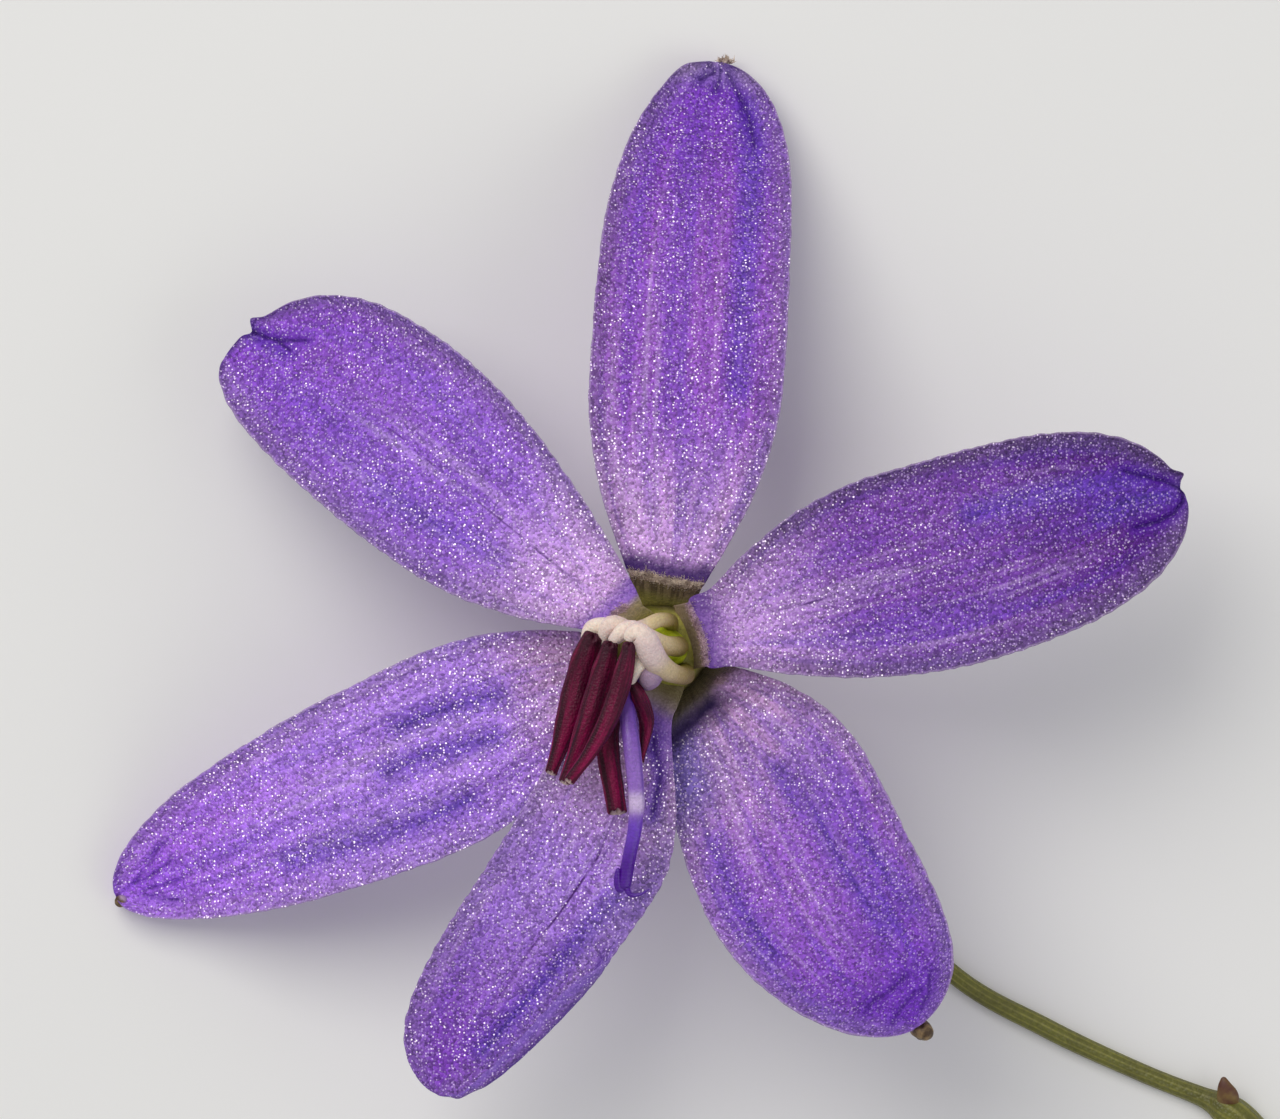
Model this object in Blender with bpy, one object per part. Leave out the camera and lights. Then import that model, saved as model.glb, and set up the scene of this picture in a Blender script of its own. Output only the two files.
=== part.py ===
"""A grass lily flower, cut and laid on its back, face up.

Six tepals in two whorls stand round a swollen stalk top. The outer ones are ribbed and
end in a small point, the inner ones lie over them and have one sunken middle vein and
waved margins. Six thick filaments arch to the left in a bundle and carry long anthers.
The style leans the same way over the bottom tepal. The stalk bends down behind the
flower and lies along the surface to its cut end. The flower rests on the tips of its
top and lower left tepals and on the stalk.

The frame has +Z up and the surface at z = 0. The middle of the whole object's box is at
x = y = 0, and the flower's own centre, from which the places below are measured, is
FLOWER_CENTRE from there.
"""

import bmesh
import bpy
import numpy as np

# Driving dimensions, in millimetres
MM = 0.001
FLOWER_CENTRE = (-1.63, -0.69)
TEPAL_THICKNESS = 0.6

# Rows and columns of a tepal's surface, and sides of the round pieces
BLADE_ROWS = 19
TEPAL_COLUMNS = 14
FILAMENT_SIDES = 8
ANTHER_SIDES = 12
STYLE_SIDES = 9
STALK_SIDES = 12

# Rings between each pair of a middle line's points
FILAMENT_STEPS = 4
STEM_STEPS = 3
ANTHER_RINGS = 12


def unit(vector):
    return vector / np.linalg.norm(vector)


def remove_everything():
    for old in list(bpy.data.objects):
        bpy.data.objects.remove(old, do_unlink=True)


def material(name, colour, roughness, coat=0.0):
    made = bpy.data.materials.new(name)
    made.use_nodes = True
    shader = made.node_tree.nodes["Principled BSDF"]
    shader.inputs["Base Color"].default_value = (*colour, 1.0)
    shader.inputs["Roughness"].default_value = roughness
    shader.inputs["Metallic"].default_value = 0.0
    shader.inputs["Coat Weight"].default_value = coat
    made.diffuse_color = (*colour, 1.0)
    return made


def outer_tepal_material():
    return material("outer_tepal", (0.29, 0.16, 0.62), 0.5)


def inner_tepal_material():
    return material("inner_tepal", (0.33, 0.19, 0.66), 0.5)


def filament_material():
    return material("filament", (0.78, 0.72, 0.62), 0.35, coat=0.2)


def anther_material():
    return material("anther", (0.12, 0.012, 0.035), 0.45)


def pistil_material():
    return material("pistil", (0.36, 0.27, 0.62), 0.4)


def stalk_material():
    return material("stalk", (0.13, 0.15, 0.035), 0.5)


def in_part_frame(points):
    """Points round the flower's centre, in millimetres, moved to the object's own frame, in metres."""
    return (np.asarray(points, float) + [*FLOWER_CENTRE, 0.0]) * MM


def object_from(name, mesh, finish):
    mesh.materials.append(finish)
    made = bpy.data.objects.new(name, mesh)
    bpy.context.scene.collection.objects.link(made)
    return made


def smooth_path(points, steps):
    """A Catmull-Rom curve through the points, with the given steps between each pair."""
    points = np.asarray(points, float)
    padded = np.vstack([2 * points[0] - points[1], points, 2 * points[-1] - points[-2]])
    before, start, end, after = padded[:-3], padded[1:-2], padded[2:-1], padded[3:]
    t = (np.arange(steps) / steps)[:, None, None]
    curve = 0.5 * (
        2 * start
        + (end - before) * t
        + (2 * before - 5 * start + 4 * end - after) * t**2
        + (3 * start - before - 3 * end + after) * t**3
    )
    return np.vstack([curve.transpose(1, 0, 2).reshape(-1, points.shape[1]), points[-1]])


def smooth_values(values, steps):
    """The same curve through single values, such as radii."""
    return smooth_path([(value,) for value in values], steps)[:, 0]


def rings_along(path, radii, section, first_side):
    """A ring of points round each point of the path, square to it, carried along without twist."""
    heading = np.gradient(path, axis=0)
    heading /= np.linalg.norm(heading, axis=1, keepdims=True)
    side = unit(first_side - heading[0] * np.dot(first_side, heading[0]))
    rings = []
    for place, ahead, radius in zip(path, heading, radii):
        side = unit(side - ahead * np.dot(side, ahead))
        across = np.cross(ahead, side)
        rings.append(place + radius * (section[:, :1] * side + section[:, 1:] * across))
    return rings


def lobed_section(sides, lobes=0, depth=0.0, flatness=1.0):
    """A unit ring, its radius swelling by depth at each lobe, and flattened the second way."""
    angle = 2 * np.pi * np.arange(sides) / sides
    radius = 1 + depth * np.cos(lobes * angle)
    return np.column_stack([radius * np.cos(angle), flatness * radius * np.sin(angle)])


def closed_tube(name, path, radii, section, finish, first_side=(0, 0, 1)):
    """A closed body skinned over rings along a path, with a flat cap on each end."""
    body = bmesh.new()
    rings = [
        [body.verts.new(point) for point in in_part_frame(ring)]
        for ring in rings_along(path, radii, section, np.array(first_side, float))
    ]
    sides = len(section)
    for ring, following in zip(rings, rings[1:]):
        for k in range(sides):
            n = (k + 1) % sides
            body.faces.new((ring[k], ring[n], following[n], following[k]))
    body.faces.new(reversed(rings[0]))
    body.faces.new(rings[-1])
    bmesh.ops.triangulate(body, faces=body.faces[:])
    bmesh.ops.recalc_face_normals(body, faces=body.faces[:])
    mesh = bpy.data.meshes.new(name)
    body.to_mesh(mesh)
    body.free()
    mesh.shade_smooth()
    return object_from(name, mesh, finish)


def cut_flat_at_surface(piece):
    """Cuts off what reaches below z = 0, which leaves a flat spot to rest on."""
    body = bmesh.new()
    body.from_mesh(piece.data)
    everything = body.verts[:] + body.edges[:] + body.faces[:]
    cut = bmesh.ops.bisect_plane(
        body, geom=everything, dist=1e-7, plane_co=(0, 0, 0), plane_no=(0, 0, -1), clear_outer=True
    )
    rim = [item for item in cut["geom_cut"] if isinstance(item, bmesh.types.BMEdge)]
    filled = bmesh.ops.holes_fill(body, edges=rim, sides=0)
    bmesh.ops.triangulate(body, faces=filled["faces"])
    bmesh.ops.recalc_face_normals(body, faces=body.faces[:])
    body.to_mesh(piece.data)
    body.free()


class Tepal:
    """One tepal's shape. Places are across the face of the flower, heights are above the surface.

    root and tip are the ends of the middle line, bow and sway its bends, to the left.
    left and right are each side's greatest width, how far along that is, and how blunt it ends.
    neck is the share of that width at the root, and swell how fast it grows from there.
    heights are those of the middle line at the root, the ridge, a third and two thirds of
    the way on, and the tip. cup raises the margins, hood the last stretch before the tip.
    """

    def __init__(self, name, root, tip, left, right, heights, **more):
        self.name = name
        self.root = np.array(root)
        self.tip = np.array(tip)
        self.left = left
        self.right = right
        self.heights = heights
        self.bow = more.get("bow", 0.0)
        self.sway = more.get("sway", 0.0)
        self.neck = more.get("neck", 0.2)
        self.swell = more.get("swell", 0.85)
        self.ridge_at = more.get("ridge_at", 0.05)
        self.ridge_height = more.get("ridge_height", 0.3)
        self.cup = more.get("cup", 0.2)
        self.hood = more.get("hood", 0.5)
        self.gutter = more.get("gutter", 0.15)
        self.rib_height = more.get("rib_height", 0.0)
        self.vein_depth = more.get("vein_depth", 0.0)
        self.wave_height = more.get("wave_height", 0.0)
        self.point_length = more.get("point_length", 0.0)

    def width(self, along, side):
        """Half width: it swells from the neck as a sine, then closes to the tip as a blunt oval."""
        greatest, widest_at, bluntness = side
        rising = np.sin(np.pi / 2 * np.clip(along / widest_at, 0, 1)) ** self.swell
        past = np.clip((along - widest_at) / (1 - widest_at), 0, 1)
        closing = np.sqrt(1 - past**bluntness)
        return greatest * np.where(along < widest_at, self.neck + (1 - self.neck) * rising, closing)

    def middle_height(self, along):
        """A sine rise up the claw to the ridge, then one cubic Bezier curve of heights to the tip."""
        root, ridge, near, far, tip = self.heights
        claw = root + (ridge - root) * np.sin(np.pi / 2 * np.clip(along / self.ridge_at, 0, 1))
        t = np.clip((along - self.ridge_at) / (1 - self.ridge_at), 0, 1)
        blade = ridge * (1 - t) ** 3 + 3 * near * t * (1 - t) ** 2
        blade += 3 * far * t**2 * (1 - t) + tip * t**3
        return np.where(along < self.ridge_at, claw, blade)

    def relief(self, along, across):
        """What the surface adds to its middle height: cup, hood, gutter, ridge, ribs, vein, waves."""
        on_blade = np.clip((along - self.ridge_at) / 0.12, 0, 1)
        to_tip = np.clip((along - 0.86) / 0.14, 0, 1)
        fade = on_blade * np.clip((1 - along) / 0.1, 0, 1)
        cup = self.cup * on_blade * across**2
        hood = self.hood * to_tip**2 * (1 + 0.3 * across**2)
        gutter = self.gutter * (1 - on_blade) * across**2
        ridge = self.ridge_height * np.exp(-(((along - self.ridge_at) / 0.014) ** 2))
        ribs = self.rib_height * np.cos(TEPAL_COLUMNS / 2 * np.pi * across) * fade
        vein = -self.vein_depth * np.exp(-((across / 0.06) ** 2)) * on_blade
        wave = self.wave_height * np.sin(16 * np.pi * along + 2 * across) * np.abs(across) ** 3 * fade
        return cup + hood + gutter + ridge + ribs + vein + wave

    def surface(self, along, across):
        """The upper face: a point along the middle line, moved sideways to the place across it."""
        direction = self.tip - self.root
        left_way = unit(np.array([-direction[1], direction[0]]))
        bend = self.bow * np.sin(np.pi * along) + self.sway * np.sin(2 * np.pi * along)
        half = np.where(across < 0, self.width(along, self.left), self.width(along, self.right))
        sideways = bend - across * half
        place = self.root + along[..., None] * direction + sideways[..., None] * left_way
        at_point = np.exp(-((across / 0.18) ** 2)) * np.clip((along - 0.96) / 0.03, 0, 1)
        place += self.point_length * at_point[..., None] * unit(direction)
        height = self.middle_height(along) + self.relief(along, across)
        return np.concatenate([place, height[..., None]], axis=-1)

    def rows(self):
        """Places along the tepal: close together on the claw and ridge, and towards the tip."""
        before_ridge = self.ridge_at * np.array([0, 0.35, 0.65, 1])
        beyond_ridge = self.ridge_at + np.array([0.013, 0.03])
        t = np.arange(1, BLADE_ROWS + 1) / BLADE_ROWS
        blade = beyond_ridge[-1] + (0.996 - beyond_ridge[-1]) * np.sin(np.pi / 2 * t) ** 1.15
        return np.concatenate([before_ridge, beyond_ridge, blade])

    def faces(self):
        """The points of the upper face, and of the lower one straight below, further down on a slope."""
        along = self.rows()
        across = np.linspace(-1, 1, TEPAL_COLUMNS + 1)
        upper = self.surface(*np.meshgrid(along, across, indexing="ij"))
        run = np.linalg.norm(np.gradient(upper[:, TEPAL_COLUMNS // 2, :2], axis=0), axis=1)
        slope = np.clip(np.gradient(self.middle_height(along)) / run, -1, 1)
        drop = TEPAL_THICKNESS * np.sqrt(1 + slope**2)
        lower = upper - drop[:, None, None] * np.array([0, 0, 1])
        return upper, lower

    def build(self, finish):
        """Skins both faces with the same triangles and closes the rim between them."""
        body = bmesh.new()
        sheets = [
            [[body.verts.new(point) for point in in_part_frame(row)] for row in face]
            for face in self.faces()
        ]
        for rows in sheets:
            for i, (row, following) in enumerate(zip(rows, rows[1:])):
                for j in range(TEPAL_COLUMNS):
                    corners = [row[j], following[j], following[j + 1], row[j + 1]]
                    turn = (i + j) % 2
                    corners = corners[turn:] + corners[:turn]
                    body.faces.new(corners[:3])
                    body.faces.new((corners[0], corners[2], corners[3]))
        upper_rim, lower_rim = (
            rows[0] + [row[-1] for row in rows[1:-1]] + rows[-1][::-1] + [row[0] for row in rows[-2:0:-1]]
            for rows in sheets
        )
        for k in range(len(upper_rim)):
            n = (k + 1) % len(upper_rim)
            body.faces.new((upper_rim[k], upper_rim[n], lower_rim[n], lower_rim[k]))
        bmesh.ops.triangulate(body, faces=[face for face in body.faces if len(face.verts) == 4])
        bmesh.ops.recalc_face_normals(body, faces=body.faces[:])
        mesh = bpy.data.meshes.new(self.name)
        body.to_mesh(mesh)
        body.free()
        mesh.shade_smooth()
        return object_from(self.name, mesh, finish)


def outer_tepals():
    """The three outer tepals: ribbed, hooded, each ending in a small hard point."""
    shared = {"rib_height": 0.11, "point_length": 0.35}
    return [
        Tepal(
            "outer_tepal_top", (0.1, 1.4), (1.7, 19.2), (3.15, 0.4, 2.3), (3.1, 0.45, 4.3),
            (5.2, 6.4, 7.2, 5.0, -0.48), sway=-0.1, neck=0.19, hood=1.0, **shared
        ),
        Tepal(
            "outer_tepal_lower_left", (-1.2, -0.35), (-17.7, -8.05), (3.15, 0.38, 1.6), (3.15, 0.35, 2.5),
            (5.2, 6.4, 6.6, 4.6, -0.48), bow=0.15, neck=0.15, swell=0.68, hood=1.0, **shared
        ),
        Tepal(
            "outer_tepal_lower_right", (0.95, -0.95), (8.15, -12.1), (3.5, 0.41, 3.6), (3.45, 0.51, 1.75),
            (5.2, 6.3, 6.0, 8.8, 11.5), bow=-0.25, sway=0.2, neck=0.14, swell=0.62, ridge_at=0.057, **shared
        ),
    ]


def inner_tepals():
    """The three inner tepals: smooth, with one sunken vein and waved margins."""
    shared = {"vein_depth": 0.12, "wave_height": 0.12, "hood": 0.3}
    return [
        Tepal(
            "inner_tepal_upper_left", (-0.95, 0.9), (-14.2, 9.4), (2.6, 0.47, 2.0), (4.1, 0.67, 3.0),
            (6.1, 7.4, 8.8, 6.2, 2.6), bow=-0.15, sway=0.1, neck=0.15, swell=0.9, ridge_at=0.047, **shared
        ),
        Tepal(
            "inner_tepal_bottom", (-0.05, -1.3), (-7.3, -14.3), (2.65, 0.38, 1.6), (2.45, 0.25, 7.0),
            (6.2, 7.5, 8.0, 7.4, 7.0), bow=0.35, sway=0.15, neck=0.1, swell=1.45, ridge_at=0.05,
            ridge_height=0.0, **shared
        ),
        Tepal(
            "inner_tepal_right", (1.2, 0.3), (16.9, 4.9), (3.9, 0.43, 3.2), (2.8, 0.55, 3.0),
            (6.1, 7.4, 8.6, 7.8, 7.0), bow=-0.4, neck=0.2, swell=0.83, ridge_at=0.02, **shared
        ),
    ]


# Each filament: its name, the points of its middle line and its radius at each of them
FILAMENTS = [
    ("left_end", [(-0.5, 1.1, 6.9), (-1.2, 1.15, 7.9), (-2.1, 0.85, 8.3), (-2.4, 0.3, 8.3)],
     [0.22, 0.26, 0.26, 0.14]),
    ("second", [(0.5, 1.1, 6.9), (0.0, 1.15, 8.3), (-0.9, 1.1, 8.9), (-1.5, 0.9, 8.95), (-1.55, 0.2, 8.6),
                (-1.6, -0.9, 8.5)],
     [0.22, 0.26, 0.25, 0.24, 0.16, 0.12]),
    ("third", [(0.98, 0.2, 7.0), (0.6, 0.37, 8.4), (-0.35, 0.52, 9.0), (-1.1, 0.75, 9.5),
               (-1.65, 0.25, 9.35)],
     [0.22, 0.27, 0.26, 0.26, 0.14]),
    ("front", [(0.9, -0.75, 6.9), (0.65, -0.5, 8.6), (0.1, -0.1, 9.5), (-0.3, 0.5, 9.95), (-0.75, 0.65, 10.1),
               (-1.1, 0.3, 9.9)],
     [0.22, 0.32, 0.36, 0.36, 0.28, 0.15]),
    ("bottom_left", [(-1.0, -0.45, 6.95), (-0.95, -0.2, 8.3), (-0.75, -0.15, 9.1), (-0.9, -0.65, 9.4),
                     (-0.93, -1.02, 9.3)],
     [0.22, 0.24, 0.24, 0.22, 0.14]),
    ("bottom", [(-0.05, -1.1, 6.9), (-0.15, -1.2, 8.0), (-0.3, -1.18, 8.65), (-0.75, -1.3, 8.2),
                (-1.35, -1.2, 7.9)],
     [0.22, 0.28, 0.26, 0.22, 0.14]),
]


def build_filament(name, points, radii, finish):
    path = smooth_path(points, FILAMENT_STEPS)
    thickness = smooth_values(radii, FILAMENT_STEPS)
    return closed_tube(f"filament_{name}", path, thickness, lobed_section(FILAMENT_SIDES), finish)


# Each anther: its name, the points of its middle line and its greatest half width
ANTHERS = [
    ("left_end", [(-2.5, 0.1, 8.2), (-3.0, -1.8, 8.4), (-3.6, -3.9, 8.3)], 0.41),
    ("third", [(-1.75, -0.05, 9.2), (-2.3, -2.0, 9.25), (-3.15, -4.1, 8.9)], 0.33),
    ("front", [(-1.15, 0.0, 9.8), (-1.4, -1.2, 9.9), (-1.95, -2.7, 9.8), (-3.0, -4.2, 9.6)], 0.26),
    ("second", [(-1.62, -1.25, 8.5), (-1.72, -3.0, 8.7), (-1.45, -5.2, 8.6)], 0.33),
    ("bottom_left", [(-0.77, -1.42, 9.2), (-0.53, -2.3, 8.5), (-0.7, -3.6, 8.45)], 0.25),
    ("bottom", [(-1.65, -1.4, 7.9), (-2.2, -2.2, 8.2), (-2.5, -3.4, 8.25)], 0.25),
]


def build_anther(name, points, half_width, finish):
    """A long body of four lobes, narrowing to both ends."""
    path = smooth_path(points, ANTHER_RINGS // (len(points) - 1))
    taper = 0.35 + 0.65 * np.sin(np.linspace(0, np.pi, len(path))).clip(0) ** 0.55
    section = lobed_section(ANTHER_SIDES, lobes=4, depth=0.12)
    return closed_tube(f"anther_{name}", path, half_width * taper, section, finish)


# The pistil's middle line from the ovary to the bent stigma, and its radius at each point
PISTIL_POINTS = [
    (0.1, 0.05, 6.8), (0.1, 0.05, 7.2), (0.05, 0.0, 7.6), (-0.25, -0.3, 8.1), (-0.75, -0.85, 8.55),
    (-1.12, -1.4, 8.75), (-1.12, -2.1, 9.1), (-0.97, -3.2, 9.35), (-0.83, -4.7, 9.3), (-0.88, -5.7, 9.2),
    (-1.05, -6.6, 9.0), (-1.2, -7.4, 8.8), (-1.05, -7.85, 8.8), (-0.5, -7.75, 8.9),
]
PISTIL_RADII = [0.45, 0.5, 0.42, 0.25, 0.2, 0.2, 0.23, 0.25, 0.23, 0.2, 0.18, 0.2, 0.14, 0.06]


def build_pistil(finish):
    path = smooth_path(PISTIL_POINTS, STEM_STEPS)
    radii = smooth_values(PISTIL_RADII, STEM_STEPS)
    return closed_tube("pistil", path, radii, lobed_section(STYLE_SIDES), finish, first_side=(1, 0, 0))


# The stalk's middle line from the swollen top to the cut end, and its radius at each point
STALK_POINTS = [
    (0.0, 0.0, 6.5), (0.0, 0.0, 5.9), (0.0, 0.0, 5.2), (0.05, -0.05, 4.6), (0.15, -0.2, 3.8),
    (0.5, -0.65, 2.4), (1.3, -1.6, 1.1), (2.9, -3.4, 0.35), (5.7, -6.6, 0.25), (9.35, -10.45, 0.25),
    (12.5, -12.3, 0.25), (15.5, -13.7, 0.25), (17.5, -14.5, 0.27), (18.2, -14.85, 0.4),
    (18.85, -15.3, 0.45), (19.8, -16.4, 0.45), (20.8, -17.8, 0.45),
]
STALK_RADII = [
    0.9, 0.98, 1.0, 0.7, 0.42, 0.33, 0.3, 0.3, 0.3, 0.29, 0.31, 0.29, 0.32, 0.5, 0.54, 0.52, 0.52,
]


# The small pointed bract, which stands off the joint of the thin and the thick stem
BRACT_POINTS = [(18.4, -14.95, 0.5), (18.35, -14.5, 0.85), (18.25, -14.15, 1.0), (18.2, -13.85, 1.05)]
BRACT_RADII = [0.3, 0.36, 0.24, 0.06]
BRACT_FLATNESS = 0.55


def build_bract(finish):
    path = smooth_path(BRACT_POINTS, STEM_STEPS)
    radii = smooth_values(BRACT_RADII, STEM_STEPS)
    section = lobed_section(STYLE_SIDES, flatness=BRACT_FLATNESS)
    return closed_tube("bract", path, radii, section, finish, first_side=(1, 0, 0))


def build_stalk(finish):
    path = smooth_path(STALK_POINTS, STEM_STEPS)
    radii = smooth_values(STALK_RADII, STEM_STEPS)
    stalk = closed_tube("stalk", path, radii, lobed_section(STALK_SIDES), finish, first_side=(1, 0, 0))
    cut_flat_at_surface(stalk)
    bract = build_bract(finish)
    bract.hide_render = True
    bract.display_type = "WIRE"
    joined = stalk.modifiers.new("bract", "BOOLEAN")
    joined.operation = "UNION"
    joined.object = bract
    return stalk


def build_flower():
    remove_everything()
    for tepals, finish in (
        (outer_tepals(), outer_tepal_material()),
        (inner_tepals(), inner_tepal_material()),
    ):
        for tepal in tepals:
            cut_flat_at_surface(tepal.build(finish))
    filament_finish = filament_material()
    for name, points, radii in FILAMENTS:
        build_filament(name, points, radii, filament_finish)
    anther_finish = anther_material()
    for name, points, half_width in ANTHERS:
        build_anther(name, points, half_width, anther_finish)
    build_pistil(pistil_material())
    build_stalk(stalk_material())


build_flower()
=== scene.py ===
from functools import cached_property

import bpy
import numpy as np
from mathutils import Matrix


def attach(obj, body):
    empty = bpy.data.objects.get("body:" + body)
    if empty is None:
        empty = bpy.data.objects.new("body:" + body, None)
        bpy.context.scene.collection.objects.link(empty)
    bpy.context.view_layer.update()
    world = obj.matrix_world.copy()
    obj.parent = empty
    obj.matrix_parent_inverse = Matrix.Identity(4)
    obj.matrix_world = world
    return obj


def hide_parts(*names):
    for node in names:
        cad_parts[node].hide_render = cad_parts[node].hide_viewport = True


# A grass lily flower's looks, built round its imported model. Lengths are in millimetres and
# places are measured from the flower's own centre, until a mesh is made of them. A tepal's
# own places are along, from 0 at its root to 1 at its tip, and across, from -1 at its left
# margin to 1 at its right one, seen with its tip ahead.
MM = 0.001
FLOWER_CENTRE = np.array([-1.63, -0.69, 0.0])
UP = (0, 0, 1)
EAST = (1, 0, 0)
SEED = 11

# The photograph's view: straight down from far off, at so many of its pixels a millimetre
PIXELS_A_MILLIMETRE = 31.0
PHOTO_WIDTH = 1280
PHOTO_HEIGHT = 1119
CENTRE_PIXEL = (662, 650)
CAMERA_DISTANCE = 1000.0
SHARP_HEIGHT = 6.0
SENSOR_WIDTH = 36.0
FLOOR_HALF_WIDTH = 0.6

# Grid sizes of the surfaces
TEPAL_ROWS = 210
TEPAL_COLUMNS = 96
TUBE_SIDES = 36


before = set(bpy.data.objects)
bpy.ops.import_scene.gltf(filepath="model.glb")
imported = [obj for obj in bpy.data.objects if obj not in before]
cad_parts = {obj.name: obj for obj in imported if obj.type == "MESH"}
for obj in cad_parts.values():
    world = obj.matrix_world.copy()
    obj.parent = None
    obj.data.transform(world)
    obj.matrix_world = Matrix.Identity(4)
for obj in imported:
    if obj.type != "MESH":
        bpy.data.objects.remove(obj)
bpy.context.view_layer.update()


def linear(tint):
    """A colour as a screen shows it, three parts from 0 to 255, as the linear one that shaders use.

    Anything but a tuple is given back as it is."""
    if not isinstance(tint, tuple):
        return tint
    shown = np.array(tint) / 255
    parts = np.where(shown <= 0.04045, shown / 12.92, ((shown + 0.055) / 1.055) ** 2.4)
    return (*parts.tolist(), 1.0)


def unit(vector):
    return vector / np.linalg.norm(vector, axis=-1, keepdims=True)


def smoothstep(values, low, high):
    """0 up to low, 1 from high, and the curve 3t^2 - 2t^3 between them."""
    t = np.clip((values - low) / (high - low), 0, 1)
    return t * t * (3 - 2 * t)


def bell(values, middle, width):
    """1 at the middle, falling off as a Gauss curve of that width."""
    return np.exp(-(((values - middle) / width) ** 2))


def eased(count):
    """Values from 0 to 1, set closer towards both ends, as a cosine runs."""
    return (1 - np.cos(np.pi * np.linspace(0, 1, count))) / 2


def by_side(across, left, right):
    """For each pair of values, the left side's where a place is left of the middle, else the right's."""
    return [np.where(across < 0, *pair) for pair in zip(left, right)]


def distance_to_line(places, line):
    """The distance of each place to the nearest point of a chain of straight stretches."""
    line = np.asarray(line, float)
    nearest = np.full(places.shape[:-1], np.inf)
    for start, end in zip(line, line[1:]):
        stretch = end - start
        t = np.clip(((places - start) @ stretch) / (stretch @ stretch), 0, 1)
        gap = np.linalg.norm(places - start - t[..., None] * stretch, axis=-1)
        nearest = np.minimum(nearest, gap)
    return nearest


def smooth_path(points, steps):
    """A Catmull-Rom curve through the points, with the given steps between each pair."""
    padded = np.vstack([2 * points[0] - points[1], points, 2 * points[-1] - points[-2]])
    before, start, end, after = padded[:-3], padded[1:-2], padded[2:-1], padded[3:]
    t = (np.arange(steps) / steps)[:, None, None]
    curve = 0.5 * (
        2 * start
        + (end - before) * t
        + (2 * before - 5 * start + 4 * end - after) * t**2
        + (3 * start - before - 3 * end + after) * t**3
    )
    return np.vstack([curve.transpose(1, 0, 2).reshape(-1, points.shape[1]), points[-1]])


def run_along(path):
    """How far along a path each of its points is."""
    return np.concatenate([[0], np.cumsum(np.linalg.norm(np.diff(path, axis=0), axis=1))])


def placed(name, data, place=(0, 0, 0)):
    """A new object in the scene."""
    made = bpy.data.objects.new(name, data)
    made.location = place
    bpy.context.scene.collection.objects.link(made)
    return made


# Surfaces and meshes


class Surface:
    """Points in millimetres, faces as lists of point numbers, a UV place for each face corner and
    named fields with a value for each point."""

    def __init__(self, points, faces, corners, fields=None):
        self.points = points
        self.faces = faces
        self.corners = corners
        self.fields = fields or {}

    def joined(self, other):
        """Both surfaces in one, the other's points numbered on from this one's."""
        shift = len(self.points)
        faces = self.faces + [[k + shift for k in face] for face in other.faces]
        points = np.vstack([self.points, other.points])
        return Surface(points, faces, np.vstack([self.corners, other.corners]))

    def add(self, name, finish, slot, *nodes):
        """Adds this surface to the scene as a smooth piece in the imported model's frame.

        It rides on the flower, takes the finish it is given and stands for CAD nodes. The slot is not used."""
        mesh = bpy.data.meshes.new(name)
        mesh.from_pydata(((self.points + FLOWER_CENTRE) * MM).tolist(), [], self.faces)
        place = mesh.uv_layers.new(name="place")
        place.data.foreach_set("uv", self.corners.astype(np.float32).ravel())
        for field, values in self.fields.items():
            kept = mesh.attributes.new(field, "FLOAT", "POINT")
            kept.data.foreach_set("value", values.astype(np.float32).ravel())
        mesh.shade_smooth()
        mesh.materials.append(finish)
        piece = placed(name, mesh)
        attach(piece, "root")
        if nodes:
            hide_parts(*nodes)


def quads(near, far):
    """What the corners of a grid's quads have, each quad between two columns and two rows."""
    return np.stack([near[:-1], far[:-1], far[1:], near[1:]], axis=2)


def sheet_surface(upper, lower, along, across, fields):
    """Two grids of points, joined by a wall round their rim: one closed sheet.

    The upper grid's quads run across first, so that they face up, the lower ones the other way."""
    rows, columns = along.shape
    number = np.arange(rows * columns).reshape(rows, columns)
    up = quads(number[:, :-1], number[:, 1:]).reshape(-1, 4)
    down = up[:, ::-1] + rows * columns
    rim = np.concatenate([number[0], number[1:, -1], number[-1, -2::-1], number[-2:0:-1, 0]])
    following = np.roll(rim, -1)
    wall = np.stack([rim, rim + rows * columns, following + rows * columns, following], axis=-1)
    faces = np.concatenate([up, down, wall])
    place = np.stack([across * 0.5 + 0.5, along], axis=-1).reshape(-1, 2)
    points = np.concatenate([upper.reshape(-1, 3), lower.reshape(-1, 3)])
    twice = {name: np.tile(values.ravel(), 2) for name, values in fields.items()}
    return Surface(points, faces.tolist(), np.tile(place, (2, 1))[faces.ravel()], twice)


def route(points, radii, rings, rounding=(0.0, 0.0)):
    """A smooth middle line and its radius, with rings set closer towards both ends.

    Each end is rounded off over the given length: the radius follows a quarter circle there."""
    dense = smooth_path(np.column_stack([points, radii]), 40)
    run = run_along(dense[:, :3])
    wanted = run[-1] * eased(rings)
    even = np.column_stack([np.interp(wanted, run, column) for column in dense.T])
    radius = even[:, 3]
    for reach, left in zip(rounding, (wanted, run[-1] - wanted)):
        if reach:
            radius = radius * np.sqrt(1 - np.clip(1 - left / reach, 0, 1) ** 2)
    return even[:, :3], np.maximum(radius, 0.004)


def section(sides):
    """A unit ring of points, and the angle of each."""
    angle = 2 * np.pi * np.arange(sides) / sides
    return np.stack([np.cos(angle), np.sin(angle)], axis=-1), angle


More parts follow.
